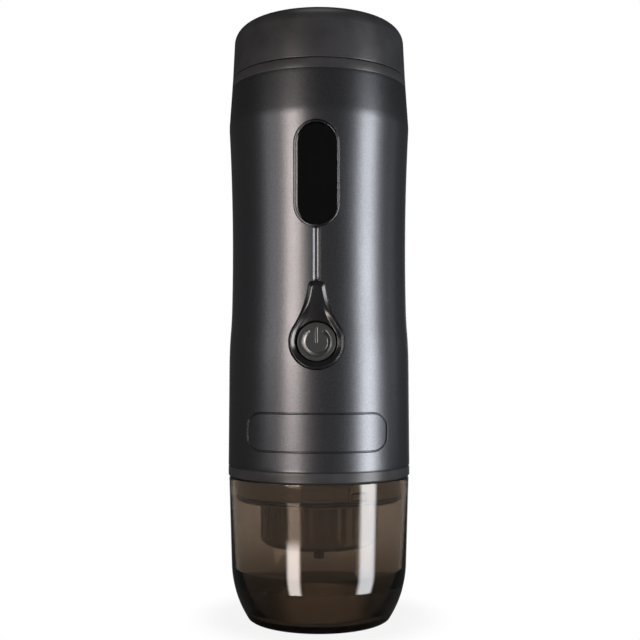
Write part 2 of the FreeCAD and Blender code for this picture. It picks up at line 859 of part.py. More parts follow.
button_face = size.housing_radius - size.button_inset
flange_face = button_face - size.button_height
button_back = flange_face - size.button_flange_height
button_flange_radius = size.button_radius + size.button_flange_width
power_button = turned("power_button", [
    (ZERO, button_back),
    (button_flange_radius, button_back),
    (button_flange_radius, flange_face),
    (size.button_radius, flange_face),
    (size.button_radius, button_face - size.button_edge),
    (size.button_radius - size.button_edge, button_face),
    (ZERO, button_face),
], z=button_centre)
switch_face = button_back - size.switch_room
board_face = switch_face - size.switch_height
plunger_back = switch_face - size.plunger_depth
well_back = plunger_back - size.button_travel - size.fit_gap
well_radius = size.plunger_radius + size.fit_gap
switch_plunger = turned("switch_plunger", [
    (ZERO, plunger_back), (size.plunger_radius, plunger_back),
    (size.plunger_radius, button_back), (ZERO, button_back),
], z=button_centre)
switch_well = turned("switch_well", [
    (ZERO, well_back), (well_radius, well_back), (well_radius, button_back), (ZERO, button_back),
], z=button_centre)
for forward in (power_button, switch_plunger, switch_well):
    forward.Placement.Rotation = FreeCAD.Rotation(FreeCAD.Vector(1, 0, 0), 90)

switch_half = size.switch_size / 2
tact_switch = cut("tact_switch", block(
    "tact_switch_case", -switch_half, switch_half, -switch_face, -board_face,
    button_centre - switch_half, button_centre + switch_half), [switch_well])

# Main board between the two front columns, with its chip and coil behind it

board_half = size.column_front_x - size.column_radius - size.shaft_gap
board_back = -(board_face - size.board_thickness)
board_low = chassis_deck + size.board_foot
board_high = chassis_roof - size.board_head
main_board = block("main_board", -board_half, board_half, -board_face, board_back, board_low, board_high)
chip_half = size.chip_size / 2
chip_centre = board_high - size.chip_drop
chip = block("chip", -chip_half, chip_half, board_back, board_back + size.chip_thickness,
             chip_centre - chip_half, chip_centre + chip_half)
coil = rod("coil", size.coil_radius, ZERO, size.coil_height, y=board_back)
set_base(coil, y=board_back, z=board_high - size.coil_drop)
coil.Placement.Rotation = FreeCAD.Rotation(FreeCAD.Vector(1, 0, 0), -90)
board_parts = group("board_parts", [chip, coil])

# Charging port on its own small board, and the flap that closes it

port_half = size.port_width / 2
port_mouth = housing_bore - size.port_gap
port_back = port_mouth - size.port_length
port_low = port_centre - size.port_height / 2
port_high = port_centre + size.port_height / 2
port_shell = cut("port_shell", block(
    "port_blank", -port_half, port_half, port_back, port_mouth, port_low, port_high), [block(
        "port_mouth_cut", -port_half + size.port_wall, port_half - size.port_wall,
        port_mouth - size.port_depth, port_mouth,
        port_low + size.port_wall, port_high - size.port_wall)])
port_tongue = block(
    "port_tongue", -size.port_tongue_width / 2, size.port_tongue_width / 2,
    port_mouth - size.port_depth, port_mouth - size.port_wall,
    port_centre - size.port_tongue_height / 2, port_centre + size.port_tongue_height / 2)
usb_port = joined("Part::MultiFuse", "usb_port", [port_shell, port_tongue])
port_board_low = port_low - size.port_board_thickness
port_board_front = port_mouth - size.port_board_length
usb_board = block(
    "usb_board", -size.port_board_width / 2, size.port_board_width / 2,
    port_board_front, port_mouth - size.port_board_gap, port_board_low, port_low)

flap_plate = joined("Part::MultiCommon", "flap_plate", [
    pushed("flap_prism", box_outline(-flap_half, flap_half, flap_low, flap_top, size.flap_corner), 1),
    skin("flap_layer", -size.flap_proud, size.flap_thickness - size.running_gap)])
flap_tongue = joined("Part::MultiCommon", "flap_tongue", [
    pushed("flap_tongue_prism", box_outline(
        -size.flap_tongue_width / 2, size.flap_tongue_width / 2,
        port_centre - size.flap_tongue_height / 2, port_centre + size.flap_tongue_height / 2), 1),
    skin("flap_tongue_layer", ZERO, size.flap_thickness + size.flap_tongue_depth)])
port_flap = joined("Part::MultiFuse", "port_flap", [flap_plate, flap_tongue])

# Places of motor, crank, pump and hoses on the chassis, which the pieces below share

pump_half = size.pump_width / 2
motor_y = chassis_radius - size.can_radius - size.motor_rim
gear_spacing = (size.crank_teeth + size.pinion_teeth) * size.gear_module / 2 + size.gear_play
crank_y = motor_y - gear_spacing
pump_front = crank_y - size.bush_radius - size.pump_front_wall
inlet_x = -(pump_half + size.hose_bend + size.inlet_run)
pressure_x = pump_half + size.hose_bend + size.pressure_run
hose_y = pump_front + size.hose_inset

# Heater block in the brew head, with its safety cut-out

heater_block = start_body("heater_block")
pad(heater_block, heater_bottom, heater_top, circles=[(0, 0, heater_radius)])
pad(heater_block, heater_bottom - size.heater_nipple_length, heater_bottom,
    circles=[(0, 0, size.heater_nipple_radius)])
pad(heater_block, heater_top, chassis_deck,
    circles=[(pressure_x, hose_y, size.nipple_radius)])
thermal_cutout = block(
    "thermal_cutout", -size.cutout_length / 2, size.cutout_length / 2,
    -size.cutout_width / 2, size.cutout_width / 2, heater_top, heater_top + size.cutout_height)

# Chassis: floor and roof plates, four columns between them and three posts to the brew head

column_circle = chassis_radius - size.column_inset
column_x = column_circle * cosine(size.column_angle)
column_y = column_circle * sine(size.column_angle)
column_front_y = board_back - size.board_thickness / 2
hose_hole = size.hose_radius + size.fit_gap

chassis = start_body("chassis")
pad(chassis, chassis_floor, chassis_deck, circles=[(0, 0, chassis_radius)])
pad(chassis, chassis_deck, chassis_roof, circles=[
    (column_x, column_y, size.column_radius),
    (-column_x, column_y, size.column_radius),
    (size.column_front_x, column_front_y, size.column_radius),
    (-size.column_front_x, column_front_y, size.column_radius)])
pad(chassis, chassis_roof, tank_bottom, circles=[(0, 0, chassis_radius)])
pad(chassis, chassis_deck, port_board_low, outline=box_outline(
    -size.port_board_width / 2, size.port_board_width / 2,
    port_board_front, port_mouth - size.port_shelf_gap))
post_circle = chassis_radius - size.post_inset
post = pad(chassis, head_top, chassis_floor, circles=[(0, post_circle, size.column_radius)])
pattern(chassis, post, size.post_count)
pocket(chassis, chassis_floor, chassis_deck, [(pressure_x, hose_y, hose_hole)])
pocket(chassis, chassis_roof, tank_bottom, [(inlet_x, hose_y, hose_hole)])

# Cells and the nickel strips that join them

cell_circle = chassis_radius - size.cell_radius - size.cell_rim
cell_x = cell_circle * cosine(size.cell_angle)
cell_y = -(cell_circle * sine(size.cell_angle))
battery_cells = group("battery_cells", [
    rod(f"cell_{number}", size.cell_radius, chassis_deck, cells_top, x=across, y=cell_y)
    for number, across in enumerate((-cell_x, cell_x), 1)])
battery_tabs = block(
    "battery_tabs", -cell_x, cell_x, cell_y - size.tab_width / 2, cell_y + size.tab_width / 2,
    cells_top, cells_top + size.tab_thickness)

# Pump block with its pillars and rear cover, and the plate above that carries the motor

pump_back = port_board_front - size.pump_back_gap
pump_top = chassis_deck + size.pump_height
mount_bottom = pump_top + size.gear_room
mount_top = mount_bottom + size.mount_thickness

pump_block = start_body("pump_block")
pad(pump_block, chassis_deck, pump_top, outline=box_outline(-pump_half, pump_half, pump_front, pump_back))
pillar_x = pump_half - size.pillar_radius - size.fit_gap
pillar_y = pump_back - size.pillar_inset
pad(pump_block, pump_top, mount_bottom, circles=[
    (pillar_x, pillar_y, size.pillar_radius), (-pillar_x, pillar_y, size.pillar_radius)])
pocket(pump_block, pump_top - size.bush_height, pump_top, [(0, crank_y, size.bush_radius)])
pump_cover = block(
    "pump_cover", -pump_half, pump_half, pump_back, pump_back + size.pump_cover_thickness,
    port_high + size.pump_cover_rise, pump_top)

motor_mount = start_body("motor_mount")
mount_half = (size.pump_width + size.mount_overhang) / 2
pad(motor_mount, mount_bottom, mount_top, outline=box_outline(
    -mount_half, mount_half, pump_front, motor_y + size.mount_reach))
pocket(motor_mount, mount_bottom, mount_top, [
    (0, crank_y, size.crank_shaft_radius + size.shaft_gap), (0, motor_y, size.motor_bush_radius)])

# Crank gear on its shaft and bush, and the pinion that drives it

crank_bush = turned("crank_bush", box_outline(
    size.crank_shaft_radius + size.shaft_gap, size.bush_radius, pump_top - size.bush_height, pump_top),
    y=crank_y)

gear_low = pump_top + (size.gear_room - size.gear_height) / 2
gear_high = gear_low + size.gear_height
half_tooth = size.gear_module * size.tooth_share * math.pi / 2
tooth_head = size.gear_module * size.tooth_head
tooth_foot = size.gear_module * size.tooth_foot
flank_slope = sine(size.tooth_angle) / cosine(size.tooth_angle)


def gear(label, teeth, bore=None):
    """A spur gear about +Z: a root disc, one straight-flanked tooth towards +Y, and the pattern of it."""
    pitch_radius = teeth * size.gear_module / 2
    tip_radius = pitch_radius + tooth_head
    root_radius = pitch_radius - tooth_foot
    tip_half = half_tooth - tooth_head * flank_slope
    root_half = half_tooth + tooth_foot * flank_slope
    sunk_radius = root_radius - size.gear_module * size.tooth_sunk
    body = start_body(label)
    rings = [(0, 0, root_radius)]
    if bore is not None:
        rings.append((0, 0, bore))
    pad(body, gear_low, gear_high, circles=rings)
    tooth = pad(body, gear_low, gear_high, outline=[
        (-root_half, sunk_radius), (root_half, sunk_radius), (root_half, root_radius),
        (tip_half, tip_radius), (-tip_half, tip_radius), (-root_half, root_radius)])
    pattern(body, tooth, teeth)
    return body


crank_gear = gear("crank_gear", size.crank_teeth)
pad(crank_gear, gear_low - size.crank_shaft_depth, gear_low, circles=[(0, 0, size.crank_shaft_radius)])
pad(crank_gear, gear_high, mount_top, circles=[(0, 0, size.crank_shaft_radius)])
set_base(crank_gear, y=crank_y)

pinion_gear = gear("pinion_gear", size.pinion_teeth, size.rotor_shaft_radius)
gap_turn = 180 + 180 / size.pinion_teeth.value
set_base(pinion_gear, y=motor_y)
pinion_gear.Placement.Rotation = FreeCAD.Rotation(FreeCAD.Vector(0, 0, 1), gap_turn)

# Motor: can, ring magnet, end cap, two bushes, and the rotor on its shaft

can_top = chassis_roof - size.end_cap_height
bush_bore = size.rotor_shaft_radius + size.shaft_gap
motor_can = turned("motor_can", [
    (size.motor_bush_radius, mount_top),
    (size.can_radius, mount_top),
    (size.can_radius, can_top),
    (size.can_radius - size.can_wall, can_top),
    (size.can_radius - size.can_wall, mount_top + size.can_wall),
    (size.motor_bush_radius, mount_top + size.can_wall),
], y=motor_y)
magnet_radius = size.can_radius - size.can_wall - size.shaft_gap
motor_magnet = turned("motor_magnet", box_outline(
    magnet_radius - size.magnet_thickness, magnet_radius,
    mount_top + size.magnet_inset, can_top - size.magnet_inset), y=motor_y)
motor_end_cap = turned("motor_end_cap", [
    (size.motor_bush_radius, can_top),
    (size.can_radius, can_top),
    (size.can_radius, chassis_roof),
    (ZERO, chassis_roof),
    (ZERO, can_top + size.motor_bush_height),
    (size.motor_bush_radius, can_top + size.motor_bush_height),
], y=motor_y)
motor_bushes = group("motor_bushes", [
    turned(f"motor_bush_{number}", box_outline(
        bush_bore, size.motor_bush_radius, low, low + size.motor_bush_height), y=motor_y)
    for number, low in enumerate((mount_top, can_top), 1)])
rotor_low = mount_top + size.rotor_inset
rotor_high = can_top - size.rotor_inset
motor_rotor = turned("motor_rotor", [
    (ZERO, gear_low),
    (size.rotor_shaft_radius, gear_low),
    (size.rotor_shaft_radius, rotor_low),
    (size.rotor_radius, rotor_low),
    (size.rotor_radius, rotor_high),
    (size.commutator_radius, rotor_high),
    (size.commutator_radius, rotor_high + size.commutator_height),
    (size.rotor_shaft_radius, rotor_high + size.commutator_height),
    (size.rotor_shaft_radius, can_top + size.motor_bush_height - size.running_gap),
    (ZERO, can_top + size.motor_bush_height - size.running_gap),
], y=motor_y)


# Hoses: down from the tank to the pump, and from the pump down to the heater

def hose(label, across, ends):
    """A hose in an upright plane: straight from its upright end, round one bend, straight to its level end."""
    body = start_body(label)
    upright_end, bend_height, level_end = ends
    turn = 1 if level_end.value > across.value else -1
    fall = 1 if upright_end.value > bend_height.value else -1
    spine = body_sketch(body, "XZ_Plane")
    corner = (across, bend_height)
    bend_start = (corner[0], corner[1] + size.hose_bend * fall)
    bend_end = (corner[0] + size.hose_bend * turn, corner[1])
    points = [(across, upright_end), bend_start, bend_end, (level_end, bend_height)]
    spots = [FreeCAD.Vector(point[0].value, point[1].value, 0) for point in points]
    bend = size.hose_bend.value * (1 if turn * fall > 0 else -1)
    first = spine.addGeometry(Part.LineSegment(spots[0], spots[1]), False)
    middle = spine.addGeometry(round_side(spots[1], spots[2], bend), False)
    last = spine.addGeometry(Part.LineSegment(spots[2], spots[3]), False)
    entry, leave = (1, 2) if bend > 0 else (2, 1)
    spine.addConstraint(Sketcher.Constraint("Coincident", first, 2, middle, entry))
    spine.addConstraint(Sketcher.Constraint("Coincident", middle, leave, last, 1))
    hold(spine, "Radius", size.hose_bend, middle)
    for edge, end, point in ((first, 1, points[0]), (first, 2, points[1]),
                             (last, 1, points[2]), (last, 2, points[3])):
        hold_point(spine, edge, end, *point)
    profile = body_sketch(body, "XY_Plane", upright_end)
    draw_circles(profile, [(across, 0, size.hose_radius), (across, 0, size.hose_bore_radius)])
    pipe = body.newObject("PartDesign::AdditivePipe", f"{label}_pipe")
    pipe.Profile = profile
    pipe.Spine = (spine, ["Edge1", "Edge2", "Edge3"])
    set_base(body, y=hose_y)
    return body


inlet_hose = hose("inlet_hose", inlet_x, (chassis_roof, chassis_deck + size.inlet_height, -pump_half))
pressure_hose = hose("pressure_hose", pressure_x,
                     (heater_top, chassis_deck + size.pressure_height, pump_half))

# Water tank with its threaded neck and outlet nipple, the filter on its floor and the ring round its rim

neck_bore = tank_neck_radius - size.tank_neck_wall
neck_top = housing_top + size.tank_neck_height
tank_bore = tank_radius - size.tank_wall
tank_inside = tank_bottom + size.tank_floor
tank_shell = turned("tank_shell", [
    (ZERO, tank_bottom),
    (tank_radius, tank_bottom),
    (tank_radius, housing_top),
    (tank_neck_radius, housing_top),
    (tank_neck_radius, neck_top),
    (neck_bore, neck_top),
    (neck_bore, housing_top),
    (tank_bore, housing_top - size.tank_shoulder_fall),
    (tank_bore, tank_inside),
    (ZERO, tank_inside),
])
nipple_low = tank_bottom - size.nipple_length
tank_nipple = rod("tank_nipple", size.nipple_radius, nipple_low, tank_bottom, inlet_x, hose_y)
tank_drain = rod("tank_drain", size.nipple_bore_radius, nipple_low, tank_inside, inlet_x, hose_y)
water_tank = cut("water_tank", joined("Part::MultiFuse", "tank_with_nipple", [tank_shell, tank_nipple]),
                 [tank_drain])
inlet_filter = rod("inlet_filter", size.filter_radius, tank_inside, tank_inside + size.filter_height,
                   inlet_x, hose_y)

ring_top_radius = housing_top_radius - size.ring_taper
rim_ring = turned("rim_ring", [
    (tank_neck_radius + size.fit_gap, housing_top),
    (housing_top_radius, housing_top),
    (ring_top_radius, ring_top),
    (tank_neck_radius + size.fit_gap, ring_top),
])

# Cap: outer shell, the liner that screws on the neck, its gasket and a vent valve

cap_foot_radius = ring_top_radius - size.cap_step
cap_brow_radius = cap_foot_radius - size.cap_taper
cap_bore = cap_brow_radius - size.cap_wall
cap_brow = cap_top - size.cap_top_bend
crown_bottom = cap_top - size.cap_crown
cap_shell = turned("cap_shell", [
    (cap_bore, cap_bottom),
    (cap_foot_radius, cap_bottom),
    (cap_brow_radius, cap_brow, size.cap_top_bend),
    (cap_brow_radius - size.cap_top_bend, cap_top),
    (ZERO, cap_top),
    (ZERO, crown_bottom),
    (cap_bore - size.cap_inner_bend, crown_bottom, -size.cap_inner_bend),
    (cap_bore, crown_bottom - size.cap_inner_bend),
])

gasket_top = neck_top + size.cap_gasket_height
liner_top = gasket_top + size.liner_crown
liner_bore = tank_neck_radius + size.liner_bore_gap
liner_radius = cap_bore - size.fit_gap
liner_shape = turned("liner_shape", [
    (liner_bore, cap_bottom + size.liner_foot),
    (liner_radius, cap_bottom + size.liner_foot),
    (liner_radius, liner_top),
    (size.liner_boss_radius, liner_top),
    (size.liner_boss_radius, crown_bottom),
    (ZERO, crown_bottom),
    (ZERO, gasket_top),
    (liner_bore, gasket_top),
])
cap_liner = cut("cap_liner", liner_shape, [rod(
    "valve_hole", size.valve_stem_radius, gasket_top, liner_top, x=size.valve_x)])
cap_gasket = turned("cap_gasket", box_outline(
    neck_bore, tank_neck_radius, neck_top, gasket_top))
vent_valve = turned("vent_valve", [
    (ZERO, gasket_top),
    (size.valve_stem_radius, gasket_top),
    (size.valve_stem_radius, liner_top),
    (size.valve_flange_radius, liner_top),
    (size.valve_flange_radius, liner_top + size.valve_flange_height),
    (ZERO, liner_top + size.valve_flange_height),
], x=size.valve_x)

doc.recompute()

NODES = [
    cup, cup_gasket, lower_collar, brew_head, neck_o_ring, brew_bell, bell_seal, needle_plate,
    holder_gasket, capsule_holder, pyramid_plate, spout, housing, window_bezel, window_lens,
    button_bezel, power_button, switch_plunger, tact_switch, main_board, board_parts, usb_port,
    usb_board, port_flap, heater_block, thermal_cutout, chassis, battery_cells, battery_tabs,
    pump_block, pump_cover, motor_mount, crank_bush, crank_gear, pinion_gear, motor_can,
    motor_magnet, motor_end_cap, motor_bushes, motor_rotor, inlet_hose, pressure_hose, water_tank,
    inlet_filter, rim_ring, cap_shell, cap_liner, cap_gasket, vent_valve,
]

failed = [item.Label for item in doc.Objects if {"Invalid", "Error"} & set(item.State)]
failed += [item.Label for item in NODES if item.Shape.isNull() or not item.Shape.isValid()]
if failed:
    raise RuntimeError("these did not build: " + ", ".join(failed))

os.makedirs("parts", exist_ok=True)
for item in NODES:
    item.Shape.exportStep(f"parts/{item.Label}.step")
    print(f"{item.Label}: {len(item.Shape.Solids)} solid(s), {item.Shape.Volume:.1f} cubic mm")
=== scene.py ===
import bmesh
import bpy
import numpy as np
from mathutils.geometry import delaunay_2d_cdt
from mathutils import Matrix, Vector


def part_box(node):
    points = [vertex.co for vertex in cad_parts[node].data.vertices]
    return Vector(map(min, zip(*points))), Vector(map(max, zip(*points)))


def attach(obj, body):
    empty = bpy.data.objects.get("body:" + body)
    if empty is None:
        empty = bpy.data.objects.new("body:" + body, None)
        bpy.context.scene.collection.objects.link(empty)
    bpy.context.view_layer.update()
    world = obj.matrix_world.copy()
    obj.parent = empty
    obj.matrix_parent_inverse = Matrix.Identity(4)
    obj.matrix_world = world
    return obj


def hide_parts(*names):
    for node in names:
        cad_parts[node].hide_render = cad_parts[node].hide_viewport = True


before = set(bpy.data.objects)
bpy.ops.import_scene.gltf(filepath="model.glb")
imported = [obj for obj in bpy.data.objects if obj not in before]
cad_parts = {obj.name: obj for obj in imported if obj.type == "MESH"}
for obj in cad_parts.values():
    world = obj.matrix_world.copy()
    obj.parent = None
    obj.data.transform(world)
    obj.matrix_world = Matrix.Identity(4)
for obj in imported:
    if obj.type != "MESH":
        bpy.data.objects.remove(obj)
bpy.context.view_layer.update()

# Cup: the clear pot that catches the coffee, and the foot that the whole maker stands on.
# Smoke-tinted copolyester, injection moulded in a polished tool; three lugs moulded inside its rim
# turn into the tracks of the brew head's neck.


def linear(colour):
    """Scene colour of an sRGB hex value: each channel is undone by the sRGB curve."""
    channels = np.array([int(colour[k:k + 2], 16) for k in (1, 3, 5)]) / 255
    low, high = channels / 12.92, ((channels + 0.055) / 1.055) ** 2.4
    return (*np.where(channels <= 0.04045, low, high).tolist(), 1.0)


def add(tree, kind, inputs=(), **settings):
    """Adds a node. The settings are its attributes; the inputs pair its sockets with a value or with
    another node's output, which is then linked."""
    node = tree.nodes.new(kind)
    for name, value in settings.items():
        setattr(node, name, value)
    for socket, value in dict(inputs).items():
        if isinstance(value, bpy.types.NodeSocket):
            tree.links.new(value, node.inputs[socket])
        else:
            node.inputs[socket].default_value = value
    return node


def material(name):
    """An empty node material; returns it with its tree."""
    made = bpy.data.materials.new(name)
    made.use_nodes = True
    made.node_tree.nodes.clear()
    return made, made.node_tree


def reach(node):
    """Radius, bottom and top of a round CAD node about the axis, in millimetres, from its box."""
    low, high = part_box(node)
    return (high.x - low.x) * 500, low.z * 1000, high.z * 1000


def at(*coordinates):
    """Points at coordinates that are arrays or single values."""
    return np.stack(np.broadcast_arrays(*coordinates), -1)


def round_axis(turn, radius, height):
    """Points (r sin a, -r cos a, z) at turns a about the maker's axis, from its front."""
    return at(radius * np.sin(turn), -radius * np.cos(turn), height)


def rounded(corners, steps=6):
    """Outline through (radius, height, bend) corners. A corner with a bend becomes an arc that touches
    both of its sides: it starts bend * tan(turn / 2) before the corner, and its points swing about its
    centre in equal angles."""
    points = np.array([corner[:2] for corner in corners], float)
    outline = []
    for here, corner in enumerate(corners):
        bend = corner[2] if len(corner) > 2 else 0
        if not bend:
            outline.append(points[here][None])
            continue
        back = points[here - 1] - points[here]
        ahead = points[(here + 1) % len(points)] - points[here]
        back, ahead = back / np.hypot(*back), ahead / np.hypot(*ahead)
        turn = np.pi - np.arccos(np.clip(back @ ahead, -1, 1))
        inset = bend * np.tan(turn / 2)
        centre = points[here] + (back + ahead) / np.hypot(*(back + ahead)) * bend / np.cos(turn / 2)
        first, last = points[here] + back * inset - centre, points[here] + ahead * inset - centre
        swing = np.linspace(0, 1, steps)[:, None] * turn
        outline.append(centre + (np.sin(turn - swing) * first + np.sin(swing) * last) / np.sin(turn))
    return np.concatenate(outline)


def arc(start, end, bend, steps=24):
    """Points of an arc from start to end with a given radius; a positive bend swells to the right of
    the way from start to end, a negative one to the left."""
    start, end = np.array(start, float), np.array(end, float)
    chord = end - start
    length = np.hypot(*chord)
    across = np.array([chord[1], -chord[0]]) / length * np.sign(bend)
    half = np.arcsin(length / 2 / abs(bend))
    centre = (start + end) / 2 - across * abs(bend) * np.cos(half)
    swing = np.linspace(-half, half, steps)[:, None]
    return centre + abs(bend) * (across * np.cos(swing) + chord / length * np.sin(swing))


def ridge(value, low, high, slope):
    """1 between low and high and 0 outside, with straight slopes of a given width centred on both."""
    return np.clip((value - low) / slope + 0.5, 0, 1) * np.clip((high - value) / slope + 0.5, 0, 1)


def ridges(value, middles, half, slope):
    """Sum of ridges of one half width about several middles."""
    return sum(ridge(value, middle - half, middle + half, slope) for middle in middles)


def beside(middles, half):
    """The values half a width to both sides of some middles."""
    return np.concatenate([np.subtract(middles, half), np.add(middles, half)])


def lines(count, edges=(), slope=0.0):
    """Angles of a full turn in equal steps, with one more each side of every edge of a detail."""
    return np.unique(np.append(np.linspace(-np.pi, np.pi, count + 1)[:-1], beside(edges, slope / 2)))


def turned(profile, angles, swell=None):
    """Surface of revolution: point (r, z) of the profile goes round the axis to every angle a, after
    swell(a, r, z) is added to r. A profile off the axis is a closed loop; one that starts and ends on
    the axis is open and closes at its poles."""
    turn, (radius, height) = angles[:, None], profile.T
    if swell is not None:
        radius = radius + swell(turn, radius, height)
    loop = profile[0, 0] > 1e-6
    points = round_axis(turn, radius, height).reshape(-1, 3)
    return points, quads(len(angles), len(profile), True, loop)


def quads(rows, columns, wrap_rows, wrap_columns):
    """Four-sided faces of a grid of points, closed on itself along its rows and columns where asked."""
    row = np.arange(rows if wrap_rows else rows - 1)[:, None]
    column = np.arange(columns if wrap_columns else columns - 1)[None]
    next_row, next_column = (row + 1) % rows, (column + 1) % columns
    return at(row * columns + column, next_row * columns + column, next_row * columns + next_column,
              row * columns + next_column).reshape(-1, 4).tolist()


def piece(name, shape, finish, body, replaced=(), crease=40):
    """Object from points in millimetres and faces. Its doubles are merged and its faces turned
    outwards, it is smooth up to the crease angle, and it rides on a body."""
    points, faces = shape
    mesh = bpy.data.meshes.new(name)
    mesh.from_pydata((points * 0.001).tolist(), [], faces)
    work = bmesh.new()
    work.from_mesh(mesh)
    bmesh.ops.remove_doubles(work, verts=work.verts, dist=2e-6)
    bmesh.ops.dissolve_degenerate(work, edges=work.edges, dist=1e-7)
    bmesh.ops.recalc_face_normals(work, faces=work.faces)
    work.to_mesh(mesh)
    work.free()
    mesh.materials.append(finish)
    mesh.shade_smooth()
    mesh.set_sharp_from_angle(angle=np.radians(crease))
    made = bpy.data.objects.new(name, mesh)
    bpy.context.scene.collection.objects.link(made)
    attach(made, body)
    if replaced:
        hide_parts(*replaced)
    return made


def smoked_copolyester():
    """Clear plastic with a brown smoke tint through its depth: thick and slanting parts look darker and
    warmer. The tint also deepens towards the foot as painted shade, for the dark ground seen through the
    base. Its hard coat gives sharp white reflections, and lamps shine through it on what is inside. Its
    flow lines are very slight."""
    flow_size = 16.67
    made, tree = material("smoked_copolyester_hard_coated")
    place = add(tree, "ShaderNodeTexCoord").outputs["Object"]
    flow = add(tree, "ShaderNodeTexNoise", {"Vector": place, "Scale": 1000 / flow_size, "Detail": 1.0})
    bump = add(tree, "ShaderNodeBump", {
        "Height": flow.outputs["Fac"], "Strength": 0.05, "Distance": 0.0003})
    height = add(tree, "ShaderNodeSeparateXYZ", {"Vector": place}).outputs["Z"]
    # Painted shade: the tint darkens from the rim down to the foot, by height alone.
    rise = add(tree, "ShaderNodeMapRange", {"Value": height, "From Min": 0.01, "From Max": 0.034})
    tint = add(tree, "ShaderNodeMix", {
        0: rise.outputs["Result"], 6: linear("#82766a"), 7: linear("#b5aa9f")}, data_type="RGBA").outputs[2]
    shader = add(tree, "ShaderNodeBsdfPrincipled", {
        "Base Color": tint, "Roughness": 0.04, "IOR": 1.57, "Transmission Weight": 1.0,
        "Coat Weight": 0.4, "Coat IOR": 1.6, "Coat Roughness": 0.06, "Normal": bump.outputs["Normal"]})
    depth = add(tree, "ShaderNodeVolumeAbsorption", {"Color": (0.33, 0.25, 0.15, 1.0), "Density": 190.0})
    clear = add(tree, "ShaderNodeBsdfTransparent", {"Color": tint})
    ray = add(tree, "ShaderNodeLightPath")
    mix = add(tree, "ShaderNodeMixShader", {
        0: ray.outputs["Is Shadow Ray"], 1: shader.outputs["BSDF"], 2: clear.outputs["BSDF"]})
    add(tree, "ShaderNodeOutputMaterial", {
        "Surface": mix.outputs["Shader"], "Volume": depth.outputs["Volume"]})
    return made


cup_radius, cup_bottom, cup_top = reach("cup")
cup_wall = 2.0
cup_bore = cup_radius - cup_wall
shoulder_radius, shoulder_height = cup_radius - 1.15, 21.0
foot_radius, foot_chamfer = shoulder_radius - 6.54, 0.3
flank_bend = 41.0
floor_top, floor_bend = 3.2, 3.0
floor_radius, floor_edge = foot_radius - 4.4, (foot_radius - 2.6, floor_top + 0.9)
lug_run_low, lug_run_high = cup_top - 7.0, cup_top - 2.0
dimple_radius, dimple_depth = foot_radius - 3.26, 0.8
edge_bend = 0.35
cup_profile = np.concatenate([
    rounded([(0, dimple_depth), (dimple_radius - dimple_depth, dimple_depth, dimple_depth),
             (dimple_radius, cup_bottom, edge_bend), (foot_radius, cup_bottom)])[:-1],
    [(foot_radius - 1.5 * foot_chamfer, cup_bottom)],
    arc((foot_radius, foot_chamfer), (shoulder_radius, shoulder_height), flank_bend, 40),
    rounded([(shoulder_radius, shoulder_height), (cup_radius, cup_top, edge_bend),
             (cup_bore, cup_top, edge_bend), (cup_bore, lug_run_high + 0.5)])[1:],
    at(cup_bore, np.linspace(lug_run_high, lug_run_low, 16)),
    arc(floor_edge, (shoulder_radius - cup_wall, shoulder_height), flank_bend - cup_wall, 32)[::-1],
    rounded([floor_edge, (floor_radius, floor_top, floor_bend), (0, floor_top)], 10)[1:],
])
lug_half, lug_low, lug_high, lug_depth = 0.085, cup_top - 6.2, cup_top - 3.6, 0.5
lug_turns = np.radians([27, 147, -93])


def cup_lugs(angle, radius, height):
    """Swells the inside of the rim inwards by a flat-topped ridge at each lug's angle and height."""
    inside = (radius < cup_bore + 0.01) & (height > lug_run_low - 1)
    across = ridges(angle, lug_turns, lug_half, 0.01)
    return -lug_depth * inside * across * ridge(height, lug_low, lug_high, 0.4)


cup_angles = lines(256, beside(lug_turns, lug_half), 0.012)
piece("coffee_cup", turned(cup_profile, cup_angles, cup_lugs), smoked_copolyester(), "cup", ["cup"],
      50)

# Cup gasket: a flat ring in the top of the cup's rim that seals it against the collar.
# Moulded silicone rubber, pushed in by hand, dark and dull with rounded edges.


def moulded(name, dark, light, rough, grain, depth, **sockets):
    """Finish of a moulded, cast or turned piece. Its tool's grain (grain in mm) gives the bump (depth
    in mm), slow clouds vary its roughness a little, and both lead its colour from dark to light."""
    cloud_size = 9.09
    made, tree = material(name)
    place = add(tree, "ShaderNodeTexCoord").outputs["Object"]
    fine = add(tree, "ShaderNodeTexNoise", {"Vector": place, "Scale": 1000 / grain, "Detail": 2.0})
    cloud = add(tree, "ShaderNodeTexNoise", {
        "Vector": place, "Scale": 1000 / cloud_size, "Detail": 5.0})
    blend = add(tree, "ShaderNodeMath", {0: fine.outputs["Fac"], 1: cloud.outputs["Fac"]},
                operation="MULTIPLY")
    shade = add(tree, "ShaderNodeMapRange", {
        "Value": blend.outputs["Value"], "From Min": 0.12, "From Max": 0.42})
    colour = add(tree, "ShaderNodeMix", {
        0: shade.outputs["Result"], 6: linear(dark), 7: linear(light)}, data_type="RGBA")
    gloss = add(tree, "ShaderNodeMapRange", {
        "Value": cloud.outputs["Fac"], "To Min": rough * 0.9, "To Max": rough * 1.12})
    bump = add(tree, "ShaderNodeBump", {
        "Height": fine.outputs["Fac"], "Strength": 0.5, "Distance": depth / 1000})
    shader = add(tree, "ShaderNodeBsdfPrincipled", {
        "Base Color": colour.outputs[2], "Roughness": gloss.outputs["Result"],
        "Normal": bump.outputs["Normal"], **sockets})
    add(tree, "ShaderNodeOutputMaterial", {"Surface": shader.outputs["BSDF"]})
    return made


def ring(node, inner, bend):
    """A plain round ring from an inner radius to its CAD node's box, all corners eased by a bend."""
    radius, bottom, top = reach(node)
    corners = [(inner, bottom), (radius, bottom), (radius, top), (inner, top)]
    return turned(rounded([(*corner, bend) for corner in corners]), lines(192))


